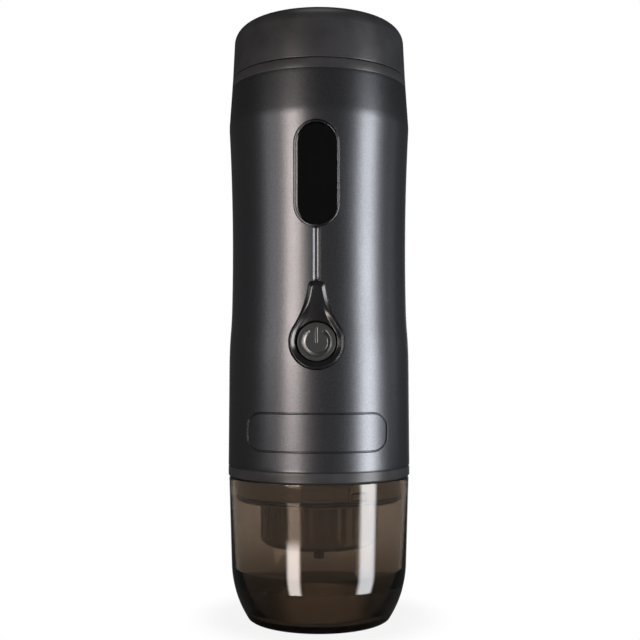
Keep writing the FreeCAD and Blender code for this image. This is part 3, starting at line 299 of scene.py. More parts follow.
# Silicone is matt and a little uneven, with the fine eroded grain of its tool.
silicone = moulded("silicone_rubber_moulded", "#161514", "#24211f", 0.55, 0.25, 0.03, IOR=1.41)
cup_gasket_width = 1.9
piece("cup_gasket_ring", ring("cup_gasket", reach("cup_gasket")[0] - cup_gasket_width, 0.15), silicone,
      "cup_seal", ["cup_gasket"])

# Capsule holder: the pot that the capsule or ground coffee sits in, with its perforated plate and spout.
# Charcoal glass-filled polypropylene, moulded, with a polished foot; it screws into the brew bore by a
# short coarse thread on its land.

# Polypropylene is waxy: a soft broad highlight over faint moulding clouds.
holder_plastic = moulded("polypropylene_charcoal_moulded", "#48413a", "#5a5249", 0.3, 0.4, 0.02, IOR=1.49)
land_radius, holder_bottom, holder_top = reach("capsule_holder")
holder_radius = land_radius - 2.9
holder_bore = holder_radius - 2.2
holder_floor = holder_bottom + 3.0
foot_bend, foot_top = 2.6, holder_bottom + 3.2
spout_seat = 3.25
land_low, land_step = holder_top - 6.2, 1.4
thread_pitch, thread_depth = 2.4, 0.35
grip_count, grip_depth = 24, 0.35


def holder_detail(angle, radius, height):
    """Thread on the land, a ridge whose height climbs with the angle, and shallow grip flutes round the
    pot, the cube of a cosine wave that fades out towards the foot and the land."""
    turn = (height - land_low) / thread_pitch - angle / (2 * np.pi)
    on_land = ridge(height, land_low + 0.6, holder_top - 0.6, 0.4) * (radius > land_radius - 0.3)
    thread = np.clip(np.cos(2 * np.pi * turn) * 2, -1, 0) * thread_depth * on_land
    on_pot = ridge(height, holder_bottom + 4.5, land_low - 3.5, 2.0)
    on_pot = on_pot * (np.abs(radius - holder_radius) < 0.01)
    return thread - on_pot * grip_depth * (0.5 - 0.5 * np.cos(grip_count * angle)) ** 3


def climb(radius, low, high, step):
    """A straight run of a profile, cut in equal steps so that a detail can show on it."""
    return at(radius, np.linspace(low, high, int(abs(high - low) / step) + 1))


holder_profile = np.concatenate([
    rounded([(spout_seat, holder_bottom, 0.2), (holder_radius, holder_bottom, foot_bend),
             (holder_radius, foot_top)], 9)[:-1],
    climb(holder_radius, foot_top, land_low - land_step, 0.5),
    climb(land_radius, land_low, holder_top - 0.2, 0.15),
    rounded([(land_radius, holder_top, 0.2), (holder_bore, holder_top, 0.2),
             (holder_bore, holder_floor, 0.6), (spout_seat, holder_floor)]),
])
piece("capsule_pot", turned(holder_profile, lines(288), holder_detail), holder_plastic, "holder",
      ["capsule_holder"], 35)
spout_flange, spout_bottom, spout_top = reach("spout")
spout_radius, spout_bore = 2.1, 1.2
piece("spout_tube", turned(rounded([
    (spout_bore, spout_bottom, 0.25), (spout_radius, spout_bottom, 0.35),
    (spout_radius, holder_bottom, 0.3), (spout_flange, holder_bottom, 0.15),
    (spout_flange, spout_top, 0.15), (spout_bore, spout_top, 0.15)]), lines(64)),
    holder_plastic, "holder", ["spout"])
piece("holder_gasket_ring", ring("holder_gasket", holder_bore + 0.2, 0.2), silicone, "holder_seal",
      ["holder_gasket"])

# Brew head: neck, flange and spigot in one, with the brew bore below and the heater's seat above.
# Black glass-filled nylon, moulded with slides, which leave the three bayonet tracks round its neck.

head_radius, head_bottom, head_top = reach("brew_head")
neck_radius = cup_bore - 1.15
brew_bore, hot_bore = land_radius + 0.5, 2.2
brew_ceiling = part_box("needle_plate")[1].z * 1000
collar_radius, collar_bottom, collar_top = reach("lower_collar")
flange_bottom = collar_top - 2.0
groove_low, groove_depth = head_bottom + 0.4, 1.2
groove_high = groove_low + 1.8
track_depth, track_half, track_low, track_high = 0.9, 0.27, head_bottom + 3.2, head_bottom + 7.4
track_turns = np.radians([6, 126, -114])
mouth_half, mouth_turn = 0.1, 0.17


def bayonet_tracks(angle, radius, height):
    """Cuts each track into the neck: a level slot, and at one end a mouth that runs down to the O-ring."""
    on_neck = np.abs(radius - neck_radius) < 0.01
    level = ridges(angle, track_turns, track_half, 0.008)
    opening = ridges(angle, track_turns + mouth_turn, mouth_half, 0.008)
    cut = np.maximum(level * ridge(height, track_low, track_high, 0.2),
                     opening * ridge(height, groove_high + 0.2, track_high, 0.2))
    return -track_depth * on_neck * cut


spigot_radius = 32.1
heater_seat, heater_bore = brew_ceiling + 5.0, 26.0
head_profile = np.concatenate([
    rounded([(brew_bore, head_bottom, 0.3), (neck_radius, head_bottom, 0.25),
             (neck_radius, groove_low, 0.1), (neck_radius - groove_depth, groove_low),
             (neck_radius - groove_depth, groove_high), (neck_radius, groove_high, 0.1)]),
    climb(neck_radius, groove_high + 0.15, flange_bottom, 0.1),
    rounded([(head_radius, flange_bottom, 0.1), (head_radius, collar_top, 0.1),
             (spigot_radius, collar_top, 0.3), (spigot_radius, head_top, 0.3),
             (heater_bore, head_top, 0.3), (heater_bore, heater_seat, 0.5), (hot_bore, heater_seat),
             (hot_bore, brew_ceiling), (brew_bore, brew_ceiling, 0.5)]),
])
track_edges = np.append(beside(track_turns, track_half), beside(track_turns + mouth_turn, mouth_half))
# Glass-filled nylon is greyer and drier than polypropylene, with a faint fibre cloud.
head_nylon = moulded("glass_filled_nylon_moulded", "#66625c", "#7a756e", 0.34, 0.35, 0.03, IOR=1.53)
piece("brew_head_neck", turned(head_profile, lines(240, track_edges, 0.01), bayonet_tracks), head_nylon,
      "main", ["brew_head"], 30)

# Lower collar: the short ring that clamps the head's flange against the housing.
# Black ABS, moulded with a fine spark-eroded texture and snapped on; a narrow step round its top leaves
# a shadow gap under the housing.

# Textured ABS scatters: a wide grey sheen with a dry, even grain of 0.3 mm.
satin_abs = moulded("abs_black_spark_eroded", "#343436", "#464649", 0.31, 0.3, 0.03, IOR=1.6)
collar_bite, flange_seat = neck_radius + 0.2, head_radius + 0.2
gap_height, gap_depth = 0.4, 0.6
piece("collar_ring", turned(rounded([
    (collar_bite, collar_bottom, 0.2), (collar_radius, collar_bottom, 0.35),
    (collar_radius, collar_top - gap_height, 0.2), (collar_radius - gap_depth, collar_top - gap_height),
    (collar_radius - gap_depth, collar_top), (flange_seat, collar_top), (flange_seat, flange_bottom),
    (collar_bite, flange_bottom, 0.1)]), lines(256)), satin_abs, "main", ["lower_collar"])

# Inner works: everything between the brew head and the tank keeps its CAD shape.
# Each is a real material with its own finish: stamped steel, cast alloy, wound iron, green laminate,
# shrink-wrapped cells and clear hose.

# Nylon inside the maker is seen only through gaps: black with a low sheen.
inner_nylon = moulded("nylon_black_moulded", "#151516", "#232325", 0.42, 0.3, 0.03, IOR=1.53)
finishes = {
    "black_inner": inner_nylon,
    "silicone_dark": silicone,
    # Clear hose is milky, soft and glossy.
    "silicone_clear": moulded("silicone_clear_extruded", "#c9c6bd", "#dcdad3", 0.25, 0.5, 0.01,
                              IOR=1.41, **{"Transmission Weight": 0.7}),
    # Stamped stainless steel keeps the fine grain of its rolled sheet.
    "stainless": moulded("stainless_steel_stamped", "#9d9c98", "#c4c2bd", 0.26, 0.12, 0.008,
                         Metallic=1.0),
    # Cast aluminium is paler and rougher, with a sandy skin.
    "alloy": moulded("aluminium_alloy_cast", "#8f9092", "#b3b4b6", 0.45, 0.6, 0.05, Metallic=1.0),
    # Brass gears are hobbed and left bare: warm with soft glints.
    "brass": moulded("brass_machined", "#b08d4b", "#cfae6a", 0.28, 0.15, 0.01, Metallic=1.0),
    # Laminated iron shows dark varnish over grey.
    "iron_core": moulded("iron_laminated_varnished", "#3a3836", "#57534f", 0.4, 0.3, 0.02, Metallic=0.9),
    # Heat-shrunk PVC round the cells is tight, blue and glossy.
    "cell_wrap": moulded("pvc_heat_shrunk", "#1d3f6b", "#2b5488", 0.22, 0.8, 0.01, IOR=1.54),
    # Solder mask is deep green with a thin lacquer gloss.
    "board_green": moulded("solder_mask_green", "#0f3b25", "#185237", 0.25, 0.4, 0.01, IOR=1.55),
    # Epoxy component bodies are black and fine-grained.
    "component_black": moulded("epoxy_moulded_black", "#1b1b1c", "#2a2a2b", 0.5, 0.2, 0.02, IOR=1.55),
}

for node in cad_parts.values():
    for held in node.material_slots:
        held.material = finishes.get(held.material.name, held.material)

# Water tank: the pot at the top of the maker, which the window shows, with a thread round its neck.
# Smoke-tinted copolyester, blow moulded, keeps its CAD shape; the thread is moulded on the neck.

# The tank's tint is deeper than the cup's, and its blown wall is a little less even.
tank_smoke = moulded("smoked_copolyester_blown", "#3c3833", "#4a453f", 0.08, 2.5, 0.02, IOR=1.57,
                     **{"Transmission Weight": 0.9})
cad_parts["water_tank"].material_slots[0].material = tank_smoke
housing_top, ring_top = reach("rim_ring")[1:]
neck_thread_radius, neck_thread_pitch, neck_thread_turns, neck_thread_proud = 30.0, 2.6, 2.2, 0.4


def neck_thread(low, steps=420):
    """A ridge on a helix from a height up: its triangular section, proud of the neck, climbs by the
    pitch in each turn and shrinks to nothing over the first and last tenth of its way."""
    way = np.linspace(0, 1, steps)[:, None]
    size = ridge(way, 0.05, 0.95, 0.1)
    section = np.array([(-0.25, -0.9), (0.8, -0.25), (1.0, 0.0), (0.8, 0.25), (-0.25, 0.9)])
    section *= neck_thread_proud
    out = neck_thread_radius + section[:, 0] * size - 0.02
    up = low + way * neck_thread_turns * neck_thread_pitch + section[:, 1] * (0.2 + 0.8 * size)
    points = round_axis(way * neck_thread_turns * 2 * np.pi, out, up).reshape(-1, 3)
    count = len(section)
    ends = [list(range(count)), list(range((steps - 1) * count, steps * count))]
    return points, quads(steps, count, False, True) + ends


piece("tank_neck_thread", neck_thread(ring_top + 1.2), tank_smoke, "main", crease=70)

# Housing: the hourglass sleeve that is the hand grip, cut for window, drip line, button and port.
# Moulded ABS under a metallic gunmetal lacquer. The lacquer softens every cut edge a little, and the
# badge outline is a fine groove moulded in the skin; its inside is bare.

belly_radius, housing_bottom = collar_radius, collar_top
bore_radius = 32.4
edge_ease = 0.12


def lacquer():
    """Gunmetal lacquer with aluminium flake over moulded grain: a broad sheen broken by fine sparkle.
    Real flake is 0.03 mm; it is drawn at 0.5 mm, and the orange peel at 1.6 mm, so that they show."""
    flake_size, peel_size, cloud_size = 0.5, 1.6, 22.22
    made, tree = material("gunmetal_metallic_lacquer")
    place = add(tree, "ShaderNodeTexCoord").outputs["Object"]
    flake = add(tree, "ShaderNodeTexNoise", {
        "Vector": place, "Scale": 1000 / flake_size, "Detail": 3.0, "Roughness": 0.7})
    peel = add(tree, "ShaderNodeTexNoise", {"Vector": place, "Scale": 1000 / peel_size, "Detail": 2.0})
    cloud = add(tree, "ShaderNodeTexNoise", {"Vector": place, "Scale": 1000 / cloud_size, "Detail": 4.0})
    shade = add(tree, "ShaderNodeMapRange", {
        "Value": flake.outputs["Fac"], "From Min": 0.35, "From Max": 0.7})
    colour = add(tree, "ShaderNodeMix", {
        0: shade.outputs["Result"], 6: linear("#606164"), 7: linear("#717276")}, data_type="RGBA")
    rough = add(tree, "ShaderNodeMapRange", {
        "Value": cloud.outputs["Fac"], "To Min": 0.3, "To Max": 0.35})
    grain = add(tree, "ShaderNodeMath", {0: flake.outputs["Fac"], 1: peel.outputs["Fac"]},
                operation="ADD")
    bump = add(tree, "ShaderNodeBump", {
        "Height": grain.outputs["Value"], "Strength": 0.35, "Distance": 0.00004})
    shader = add(tree, "ShaderNodeBsdfPrincipled", {
        "Base Color": colour.outputs[2], "Metallic": 0.92, "Roughness": rough.outputs["Result"],
        "Normal": bump.outputs["Normal"]})
    add(tree, "ShaderNodeOutputMaterial", {"Surface": shader.outputs["BSDF"]})
    return made


belly_top, flank_top, waist = housing_bottom + 38.8, housing_bottom + 52.3, housing_bottom + 59.8
crease_low, crease_high = housing_top - 17.8, housing_top - 14.2
skin = np.concatenate([
    [(belly_radius, housing_bottom)],
    arc((belly_radius - 0.16, belly_top), (belly_radius - 0.7, flank_top), 187, 60),
    arc((belly_radius - 0.7, flank_top), (belly_radius - 1.1, waist), -150, 60)[1:],
    arc((belly_radius - 1.1, waist), (belly_radius + 0.08, crease_low), -936, 200)[1:],
    arc((belly_radius + 0.08, crease_low), (belly_radius + 0.08, crease_high), 30, 40)[1:],
    [(belly_radius - 0.86, housing_top)],
])


def skin_radius(height):
    """Radius of the hourglass at a height, read between the points of its outline."""
    return np.interp(height, skin[:, 1], skin[:, 0])


def sunk(outline, depth, flatness=0.0, back=False):
    """Puts an (x, z) outline on the housing, a depth under its skin, towards the front or the back. The
    flatness widens the circle that it lies on: y = sqrt((r - depth + flatness)^2 - x^2) - flatness."""
    across, up = outline.T
    y = np.sqrt((skin_radius(up) - depth + flatness) ** 2 - across ** 2) - flatness
    return at(across, y if back else -y, up)


def bored(outline, back=False):
    """Puts an (x, z) outline on the bore of the housing, whose depth is the skin's radius less its own."""
    return sunk(outline, skin_radius(outline[:, 1]) - bore_radius, back=back)


def unrolled(outline, radius, back=False):
    """Lays an outline out flat: the way round is the angle whose sine is x over the radius."""
    angle = np.arcsin(outline[:, 0] / radius)
    return at((np.pi - angle if back else angle) * belly_radius, outline[:, 1])


def strip(rows):
    """Skin between closed outlines of equal count, one row after another."""
    return np.concatenate(rows), quads(len(rows), len(rows[0]), False, True)


def joined(*parts):
    """One set of points and faces from several, with the face numbers moved on."""
    points, faces, start = [], [], 0
    for part_points, part_faces in parts:
        points.append(part_points)
        faces += [[corner + start for corner in face] for face in part_faces]
        start += len(part_points)
    return np.concatenate(points), faces


def within(points, loop):
    """True for the points that a loop goes round: a line to the right of them crosses it an odd number
    of times. Only those in the loop's own box are worked out."""
    found = np.zeros(len(points), bool)
    near = ((points > loop.min(0)) & (points < loop.max(0))).all(1)
    x, y = points[near].T[:, :, None]
    (x1, y1), (x2, y2) = loop.T[:, None], np.roll(loop, -1, 0).T[:, None]
    crossed = (y1 > y) != (y2 > y)
    meets = x1 + (y - y1) * (x2 - x1) / np.where(y1 == y2, 1, y2 - y1)
    found[near] = (crossed & (x < meets)).sum(1) % 2 == 1
    return found


def crossings(across, up):
    """Every crossing of two sets of lines, as (x, z) points."""
    return np.stack(np.meshgrid(across, up), -1).reshape(-1, 2)


def filled(loops, seeds=np.empty((0, 2)), room=0.55, keep=None):
    """Triangles as even as can be over loops and loose seed points. Seeds nearer to a loop than the room
    are left out first. Keep says from their centres which triangles stay; without it, those do that lie
    inside the first loop and outside the others. Points that no triangle uses are dropped."""
    for loop in loops:
        near = ((seeds > loop.min(0) - room) & (seeds < loop.max(0) + room)).all(1)
        gap = np.hypot(*(seeds[near][:, None] - loop[None]).transpose(2, 0, 1)).min(1)
        near[near] = gap < room
        seeds = seeds[~near]
    edges, start = [], 0
    for loop in loops:
        number = start + np.arange(len(loop))
        edges += at(number, np.roll(number, -1)).tolist()
        start += len(loop)
    flat, _, faces = delaunay_2d_cdt(np.concatenate([*loops, seeds]).tolist(), edges, [], 0, 1e-5)[:3]
    flat, faces = np.array(flat), np.array(faces)
    middle = flat[faces].mean(1)
    if keep:
        stay = keep(middle)
    else:
        stay = within(middle, loops[0]) & ~np.any([within(middle, loop) for loop in loops[1:]], 0)
    used, numbers = np.unique(faces[stay], return_inverse=True)
    return flat[used], numbers.reshape(-1, 3).tolist()


def wrapped(flat, radius):
    """Rolls a flat layout up on a radius again: the way round over the belly's radius is the angle."""
    return round_axis(flat[:, 0] / belly_radius, radius, flat[:, 1])


def eased_edge(ease, steps=5):
    """(growth, depth) pairs of a quarter round from the skin into a cut: the ease times one less the
    sine, and the ease times one less the cosine."""
    swing = np.linspace(0, np.pi / 2, steps)
    return list(zip(ease * (1 - np.sin(swing)), ease * (1 - np.cos(swing))))


def circled(turn, radius, middle=(0.0, 0.0)):
    """Points of a circle about a middle: (r cos a, r sin a) at turns a from the right."""
    return middle + radius * at(np.cos(turn), np.sin(turn))


def mirrored(outline):
    """The same outline on the other side of the middle, run back to its start."""
    return (outline * [-1, 1])[::-1]


def eased_box(half, middle, rise, corner, grow=0.0, along=40, up=8):
    """Box outline with round corners, grown all round: four quarter circles joined by straight sides
    that are cut in equal steps. It stands half to both sides and a rise over and under its middle."""
    swing = np.linspace(0, np.pi / 2, 9)
    outline = []
    for quarter, (side_x, side_z) in enumerate([(1, 1), (-1, 1), (-1, -1), (1, -1)]):
        centre = (side_x * (half - corner), middle + side_z * (rise - corner))
        outline.append(circled(swing + quarter * np.pi / 2, corner + grow, centre))
    whole = []
    for quarter, count in enumerate([along, up, along, up]):
        start, end = outline[quarter][-1], outline[(quarter + 1) % 4][0]
        way = np.linspace(0, 1, count + 2)[1:-1, None]
        whole += [outline[quarter], start + way * (end - start)]
    return np.concatenate(whole)


window_half, window_low, window_high, window_ledge = 8.6, housing_top - 59.6, housing_top - 19.7, 0.6
channel_half, pit_depth = 1.4, 0.6


def stadium(half, grow=0.0, mouth=0.0, around=30, along=44):
    """Upright window outline: two half circles and straight sides. The mouth is the half width that is
    left open at the bottom for the drip line."""
    radius = half + grow
    low, high = window_low + window_half, window_high - window_half
    slit = np.arcsin(mouth / radius)
    quarter = np.linspace(-np.pi / 2 + slit, 0, around)
    top = np.linspace(0, np.pi, 2 * around)
    right = circled(quarter, radius, (0, low))
    side = at(radius, np.linspace(low, high, along + 2)[1:-1])
    left = mirrored(right)
    return np.concatenate([right, side, circled(top, radius, (0, high)), mirrored(side),
                           left if mouth else left[:-1]])


button_up = housing_bottom + 47.7
tear_radius, tear_rise, tear_tip, tear_bend, tear_join = 10.3, 22.2, 2.9, 37.0, np.radians(30)


def teardrop(grow, middle=True):
    """Outline round the button, grown all round: a big arc under it, two long hollow flanks and a short
    tip. A parabola eases each corner of the tip. The middle is the stretch under the drip line."""
    radius, tip, top = tear_radius + grow, tear_tip + grow, button_up + tear_rise + grow
    join = np.array([-radius * np.cos(tear_join), button_up + radius * np.sin(tear_join)])
    flank = arc((-tip, top), join, -(tear_bend - grow), 200)[18::6]
    ease = np.linspace(0, 1, 7)[1:-1, None]
    start = np.array([-tip * 0.5, top])
    eased = (1 - ease) ** 2 * start + 2 * ease * (1 - ease) * np.array([-tip, top]) + ease ** 2 * flank[0]
    way = np.linspace(-min(channel_half, tip * 0.3), -tip * 0.5, 4)
    half = np.concatenate([at(way, top), eased, flank])
    arch = circled(np.linspace(np.pi - tear_join, 2 * np.pi + tear_join, 110)[1:-1], radius, (0, button_up))
    inner = np.linspace(way[0], -way[0], 9)[1:-1][::-1]
    return np.concatenate([half, arch, mirrored(half)] + ([at(inner, top)] if middle else []))


def offset(loop, grow):
    """Moves every point of a loop outwards by the same distance from both of its sides: along the sum of
    their normals, over one plus the normals' dot product."""
    ahead = np.roll(loop, -1, 0) - loop
    ahead /= np.hypot(*ahead.T)[:, None]
    normal = at(ahead[:, 1], -ahead[:, 0])
    before = np.roll(normal, 1, 0)
    return loop + grow * (normal + before) / (1 + (normal * before).sum(1))[:, None]


hole_gap = 0.1
hole = teardrop(hole_gap)
open_hole = teardrop(hole_gap, middle=False)
mouth = stadium(window_half, mouth=channel_half)
rail = np.linspace(open_hole[-1][1], mouth[0][1], 24)[1:-1]
channel = at(channel_half, rail)
pit = np.concatenate([open_hole, channel, mouth, mirrored(channel)])
pit_floor = np.concatenate([channel, mouth, mirrored(channel), open_hole[:1],
                            hole[len(open_hole):][::-1], open_hole[-1:]])
window_hole = stadium(window_half - window_ledge)

# The badge outline's groove, from its middle line: its slope, as (distance, depth), is the same on both
# sides of its deepest place.
badge_half, badge_up, badge_rise, badge_corner = 26.05, housing_bottom + 14.25, 7.05, 5.2
badge_slope = [(0.46, 0.0), (0.38, 0.03), (0.3, 0.1), (0.23, 0.23), (0.16, 0.36), (0.08, 0.43)]
badge_section = badge_slope + [(0.0, 0.45)] + [(-out, depth) for out, depth in badge_slope[::-1]]
badge = [(eased_box(badge_half, badge_up, badge_rise, badge_corner, out, along=44), depth)
         for out, depth in badge_section]

port_up = housing_bottom + 23.3
flap_half, flap_rise, flap_corner, flap_depth, flap_gap = 7.0, 4.2, 2.4, 1.5, 0.3


def port_box(grow):
    """Outline of the port's recess or of its flap."""
    return eased_box(flap_half, port_up, flap_rise, flap_corner, grow, 14, 6)


socket_half, socket_rise, socket_corner = 5.2, 2.2, 0.8
slot_box = eased_box(socket_half, port_up, socket_rise, socket_corner, along=14, up=6)

around = np.linspace(-np.pi / 2, 3 * np.pi / 2, 191) * belly_radius
rows = np.unique(np.concatenate([
    np.linspace(housing_bottom + edge_ease, crease_low - 1, 104),
    np.linspace(crease_low - 1, crease_high + 1, 16),
    np.linspace(crease_high + 1, housing_top - edge_ease, 11)]))
pit_edge = offset(pit, edge_ease)
port_edge = port_box(flap_gap + edge_ease)
skin_loops = [unrolled(loop, skin_radius(loop[:, 1]), back) for loop, back in [
    (pit_edge, False), (badge[0][0], False), (badge[-1][0], False), (port_edge, True)]]
pit_flat, badge_out, badge_in, port_flat = skin_loops
outside, outside_faces = filled(skin_loops, crossings(around, rows), keep=lambda middle: ~(
    within(middle, pit_flat) | within(middle, port_flat)
    | (within(middle, badge_out) & ~within(middle, badge_in))))
bore_loops = [unrolled(loop, bore_radius, back) for loop, back in [
    (window_hole, False), (hole, False), (slot_box, True)]]
inside, inside_faces = filled(
    bore_loops, crossings(around, np.linspace(housing_bottom, housing_top, 40)),
    keep=lambda middle: ~np.any([within(middle, loop) for loop in bore_loops], 0))
ledge, ledge_faces = filled([pit_floor, window_hole])


def end_face(level, way):
    """Rounds the sleeve's end from the skin and runs flat to the bore; way is 1 at the top, -1 below."""
    short, depth = np.array(eased_edge(edge_ease)).T
    height = np.append(level - way * short, level)[:, None]
    radius = np.append(skin_radius(level - way * edge_ease) - depth, bore_radius)[:, None]
    points = round_axis(around / belly_radius, radius, height).reshape(-1, 3)
    return points, quads(len(height), len(around), False, False)


housing_shape = joined(
    (wrapped(outside, skin_radius(outside[:, 1])), outside_faces),
    (wrapped(inside, bore_radius), inside_faces),
    (sunk(ledge, pit_depth), ledge_faces),
    strip([sunk(offset(pit, grow), depth) for grow, depth in eased_edge(edge_ease)]
          + [sunk(pit, pit_depth)]),
    strip([sunk(window_hole, pit_depth), bored(window_hole)]),
    strip([sunk(hole, pit_depth), bored(hole)]),
    strip([sunk(outline, depth) for outline, depth in badge]),
    strip([sunk(port_box(flap_gap + grow), depth, back=True) for grow, depth in eased_edge(edge_ease)]
          + [sunk(port_box(flap_gap), flap_depth, back=True), sunk(slot_box, flap_depth, back=True),
             bored(slot_box, True)]),
    end_face(housing_top, 1), end_face(housing_bottom, -1))
housing = piece("housing_sleeve", housing_shape, lacquer(), "main", ["housing"], 30)


def smooth_skin(made):
    """Gives every point that lies on the hourglass its exact normal, from the outline's slope, so that
    the sheen runs straight over the small triangles beside the cuts."""
    count = len(made.data.vertices)
    place, normal = np.empty(count * 3, np.float32), np.empty(count * 3, np.float32)
    made.data.vertices.foreach_get("co", place)
    made.data.vertex_normals.foreach_get("vector", normal)
    place, normal = place.reshape(-1, 3) * 1000, normal.reshape(-1, 3)
    radius = np.hypot(place[:, 0], place[:, 1])
    on_skin = (np.abs(radius - skin_radius(place[:, 2])) < 0.004) & (place[:, 2] < housing_top - 0.2) \
        & (place[:, 2] > housing_bottom + 0.2)
    slope = np.interp(place[:, 2], (skin[1:, 1] + skin[:-1, 1]) / 2,
                      np.diff(skin[:, 0]) / np.diff(skin[:, 1]))
    exact = at(place[:, 0] / radius, place[:, 1] / radius, -slope)
    exact /= np.linalg.norm(exact, axis=1)[:, None]
    normal[on_skin] = exact[on_skin]
    made.data.normals_split_custom_set_from_vertices(normal.tolist())


smooth_skin(housing)

# Window: a slim bezel ring and the lens behind it, both curved like the sleeve.
# The ring is moulded ABS, metallised as dark chrome; the lens is a deep smoke acrylic, glued in behind
# it, so that only a strong light shows the tank's wall through it.

# Dark chrome, vacuum-metallised on ABS: it takes the light of the lamps in thin clear lines.
dark_chrome = moulded("abs_metallised_dark_chrome", "#5c5c5f", "#67676a", 0.27, 2.0, 0.001, Metallic=1.0)
bezel_gap = 0.1
bezel_half = window_half - window_ledge - bezel_gap
rim_section = [(0.62, 0.57), (0.62, 0.36), (0.57, 0.24), (0.47, 0.16), (0.32, 0.11), (0.14, 0.1),
               (-0.02, 0.12), (-0.15, 0.18), (-0.24, 0.27), (-0.3, 0.4), (-0.3, 1.9), (0.0, 1.9),
               (0.0, 0.57)]
rim = [sunk(stadium(bezel_half, grow), depth) for grow, depth in rim_section]
piece("window_rim", (np.concatenate(rim), quads(len(rim), len(rim[0]), True, True)), dark_chrome, "main",
      ["window_bezel"], 40)


def plate(outline, section, grid, place):
    """A curved plate: its outline is carried through the section's (growth, depth) pairs, and both
    ends are filled over a grid of loose points. Place puts a flat outline at a depth."""
    rows = [(outline(grow), depth) for grow, depth in section]
    sides = strip([place(loop, depth) for loop, depth in rows])
    faces = []
    for loop, depth in (rows[0], rows[-1]):
        across, up = [np.arange(low + grid, high, grid) for low, high in zip(loop.min(0), loop.max(0))]
        flat, found = filled([loop], crossings(across, up), grid / 2)
        faces.append((place(flat, depth), found))
    return joined(sides, *faces)


# Deep smoke acrylic: almost black, with a mirror gloss and a trace of the tank behind it.
lens_smoke = moulded("smoked_acrylic_polished", "#1f1f20", "#232325", 0.05, 4.0, 0.003, IOR=1.49,
                     **{"Transmission Weight": 0.85})
pane_seat, pane_flatness = 0.34, 60.0
pane_half = bezel_half - pane_seat
pane_section = [(-0.1, 0.9), (-0.03, 0.92), (0.0, 1.0), (0.0, 2.2), (-0.1, 2.3)]
piece("window_pane", plate(lambda grow: stadium(pane_half, grow), pane_section, 1.0,
                           lambda outline, depth: sunk(outline, depth, pane_flatness)),
      lens_smoke, "main", ["window_lens"], 40)

# Button bezel: the teardrop round the button, standing proud of the skin with a rounded lip.
# Charcoal ABS, moulded in a polished tool in one with the field inside its lip, snapped in from behind.

lip_proud, brow_flatness, field_depth, bezel_back = 0.6, 30.0, 0.2, 2.2
button_low, button_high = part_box("power_button")
button_radius, button_face, button_base = 7.1, -button_low.y * 1000, -button_high.y * 1000
button_gap = 0.2
bezel_hole = button_radius + button_gap
crest_top, neck_bottom = button_up + 7.5, button_up + 15.0
# Sections across the bezel, as (inset, share) of the height between its field and its brow. Round the
# button it is a crest whose inner flank falls to the field; in the neck above, it is one round ridge.
crest_section = np.array([(0.0, 0.1), (0.1, 0.3), (0.28, 0.64), (0.46, 0.86), (0.6, 0.96), (0.76, 1.0),
                          (0.9, 0.98), (1.05, 0.91), (2.2, 0.13), (2.32, 0.05), (2.45, 0.0)])
neck_section = np.array([(0.0, 0.0), (1.1, 0.84), (1.3, 0.93), (1.5, 0.975), (1.75, 1.0)])
insets = np.array([0.0, 0.08, 0.2, 0.35, 0.5, 0.6, 0.7, 0.8, 0.9, 1.0, 1.1, 1.2, 1.35, 1.5, 1.65, 1.8,
                   2.0, 2.12, 2.2, 2.28, 2.36, 2.45])


def browed(outline, inset):
    """Puts an (x, z) outline on the bezel, at an inset from its edge, between its field and its brow.
    The brow is flatter than the skin, so that the crest stands further out towards the sides. Up the
    neck, a smooth step leads from the crest's section to the neck's."""
    crest, hump = np.interp(inset, *crest_section.T), np.interp(inset, *neck_section.T)
    rise = np.clip((outline[:, 1] - crest_top) / (neck_bottom - crest_top), 0, 1)
    share = crest + rise ** 2 * (3 - 2 * rise) * (hump - crest)
    field, brow = sunk(outline, field_depth), sunk(outline, -lip_proud, brow_flatness)
    return field + share[:, None] * (brow - field)


bezel = [sunk(teardrop(0.0), depth) for depth in (bezel_back, 0.8)]
bezel += [browed(teardrop(-inset), inset) for inset in insets]


def towards_hole(outline, part, radius):
    """Outline between a teardrop and the button's hole: each point moves along its own line towards
    the hole's edge, which it meets at the angle where it stands."""
    edge = circled(np.arctan2(outline[:, 1] - button_up, outline[:, 0]), radius, (0, button_up))
    return outline + part * (edge - outline)


field_edge = teardrop(-insets[-1])
# The hole's countersink, as (growth, depth) under the field, down to the bezel's back.
sink_section = [(0.6, 0.0), (0.54, 0.04), (0.46, 0.16), (0.2, 0.75), (0.05, 0.98),
                (0.0, bezel_back - field_depth)]
bezel += [browed(towards_hole(field_edge, part, bezel_hole + sink_section[0][0]), insets[-1] + part)
          for part in np.linspace(0, 1, 14)[1:-1]]
bezel += [sunk(towards_hole(field_edge, 1, bezel_hole + grow), field_depth + depth)
          for grow, depth in sink_section]
bezel += [sunk(towards_hole(teardrop(0.0), part, bezel_hole), bezel_back)
          for part in np.linspace(1, 0, 12)[1:-1]]
# Gloss ABS over a fine tool: charcoal with a clear skin that softens the lamps a little.
gloss_abs = moulded("abs_charcoal_gloss", "#18181a", "#202022", 0.27, 3.0, 0.004, IOR=1.54,
                    **{"Coat Weight": 0.7, "Coat Roughness": 0.16})
piece("button_teardrop", (np.concatenate(bezel), quads(len(bezel), len(bezel[0]), True, True)), gloss_abs,
      "main", ["button_bezel"], 50)

# Power button: the round cap that starts the pump, held behind the bezel by its flange.
# Grey ABS with a soft satin face, slightly dished for the thumb, with the power sign moulded in it as a
# rounded groove that is foiled in silver: a ring open at the top and a bar in the opening.

dish_depth, dish_radius, button_ease = 0.3, 6.4, 0.35
sign_radius, sign_half, sign_gap, sign_shallow, sign_deep = 4.7, 0.7, np.radians(40), 0.1, 0.46
bar_half, bar_low, bar_high = 0.5, -0.7, 5.3


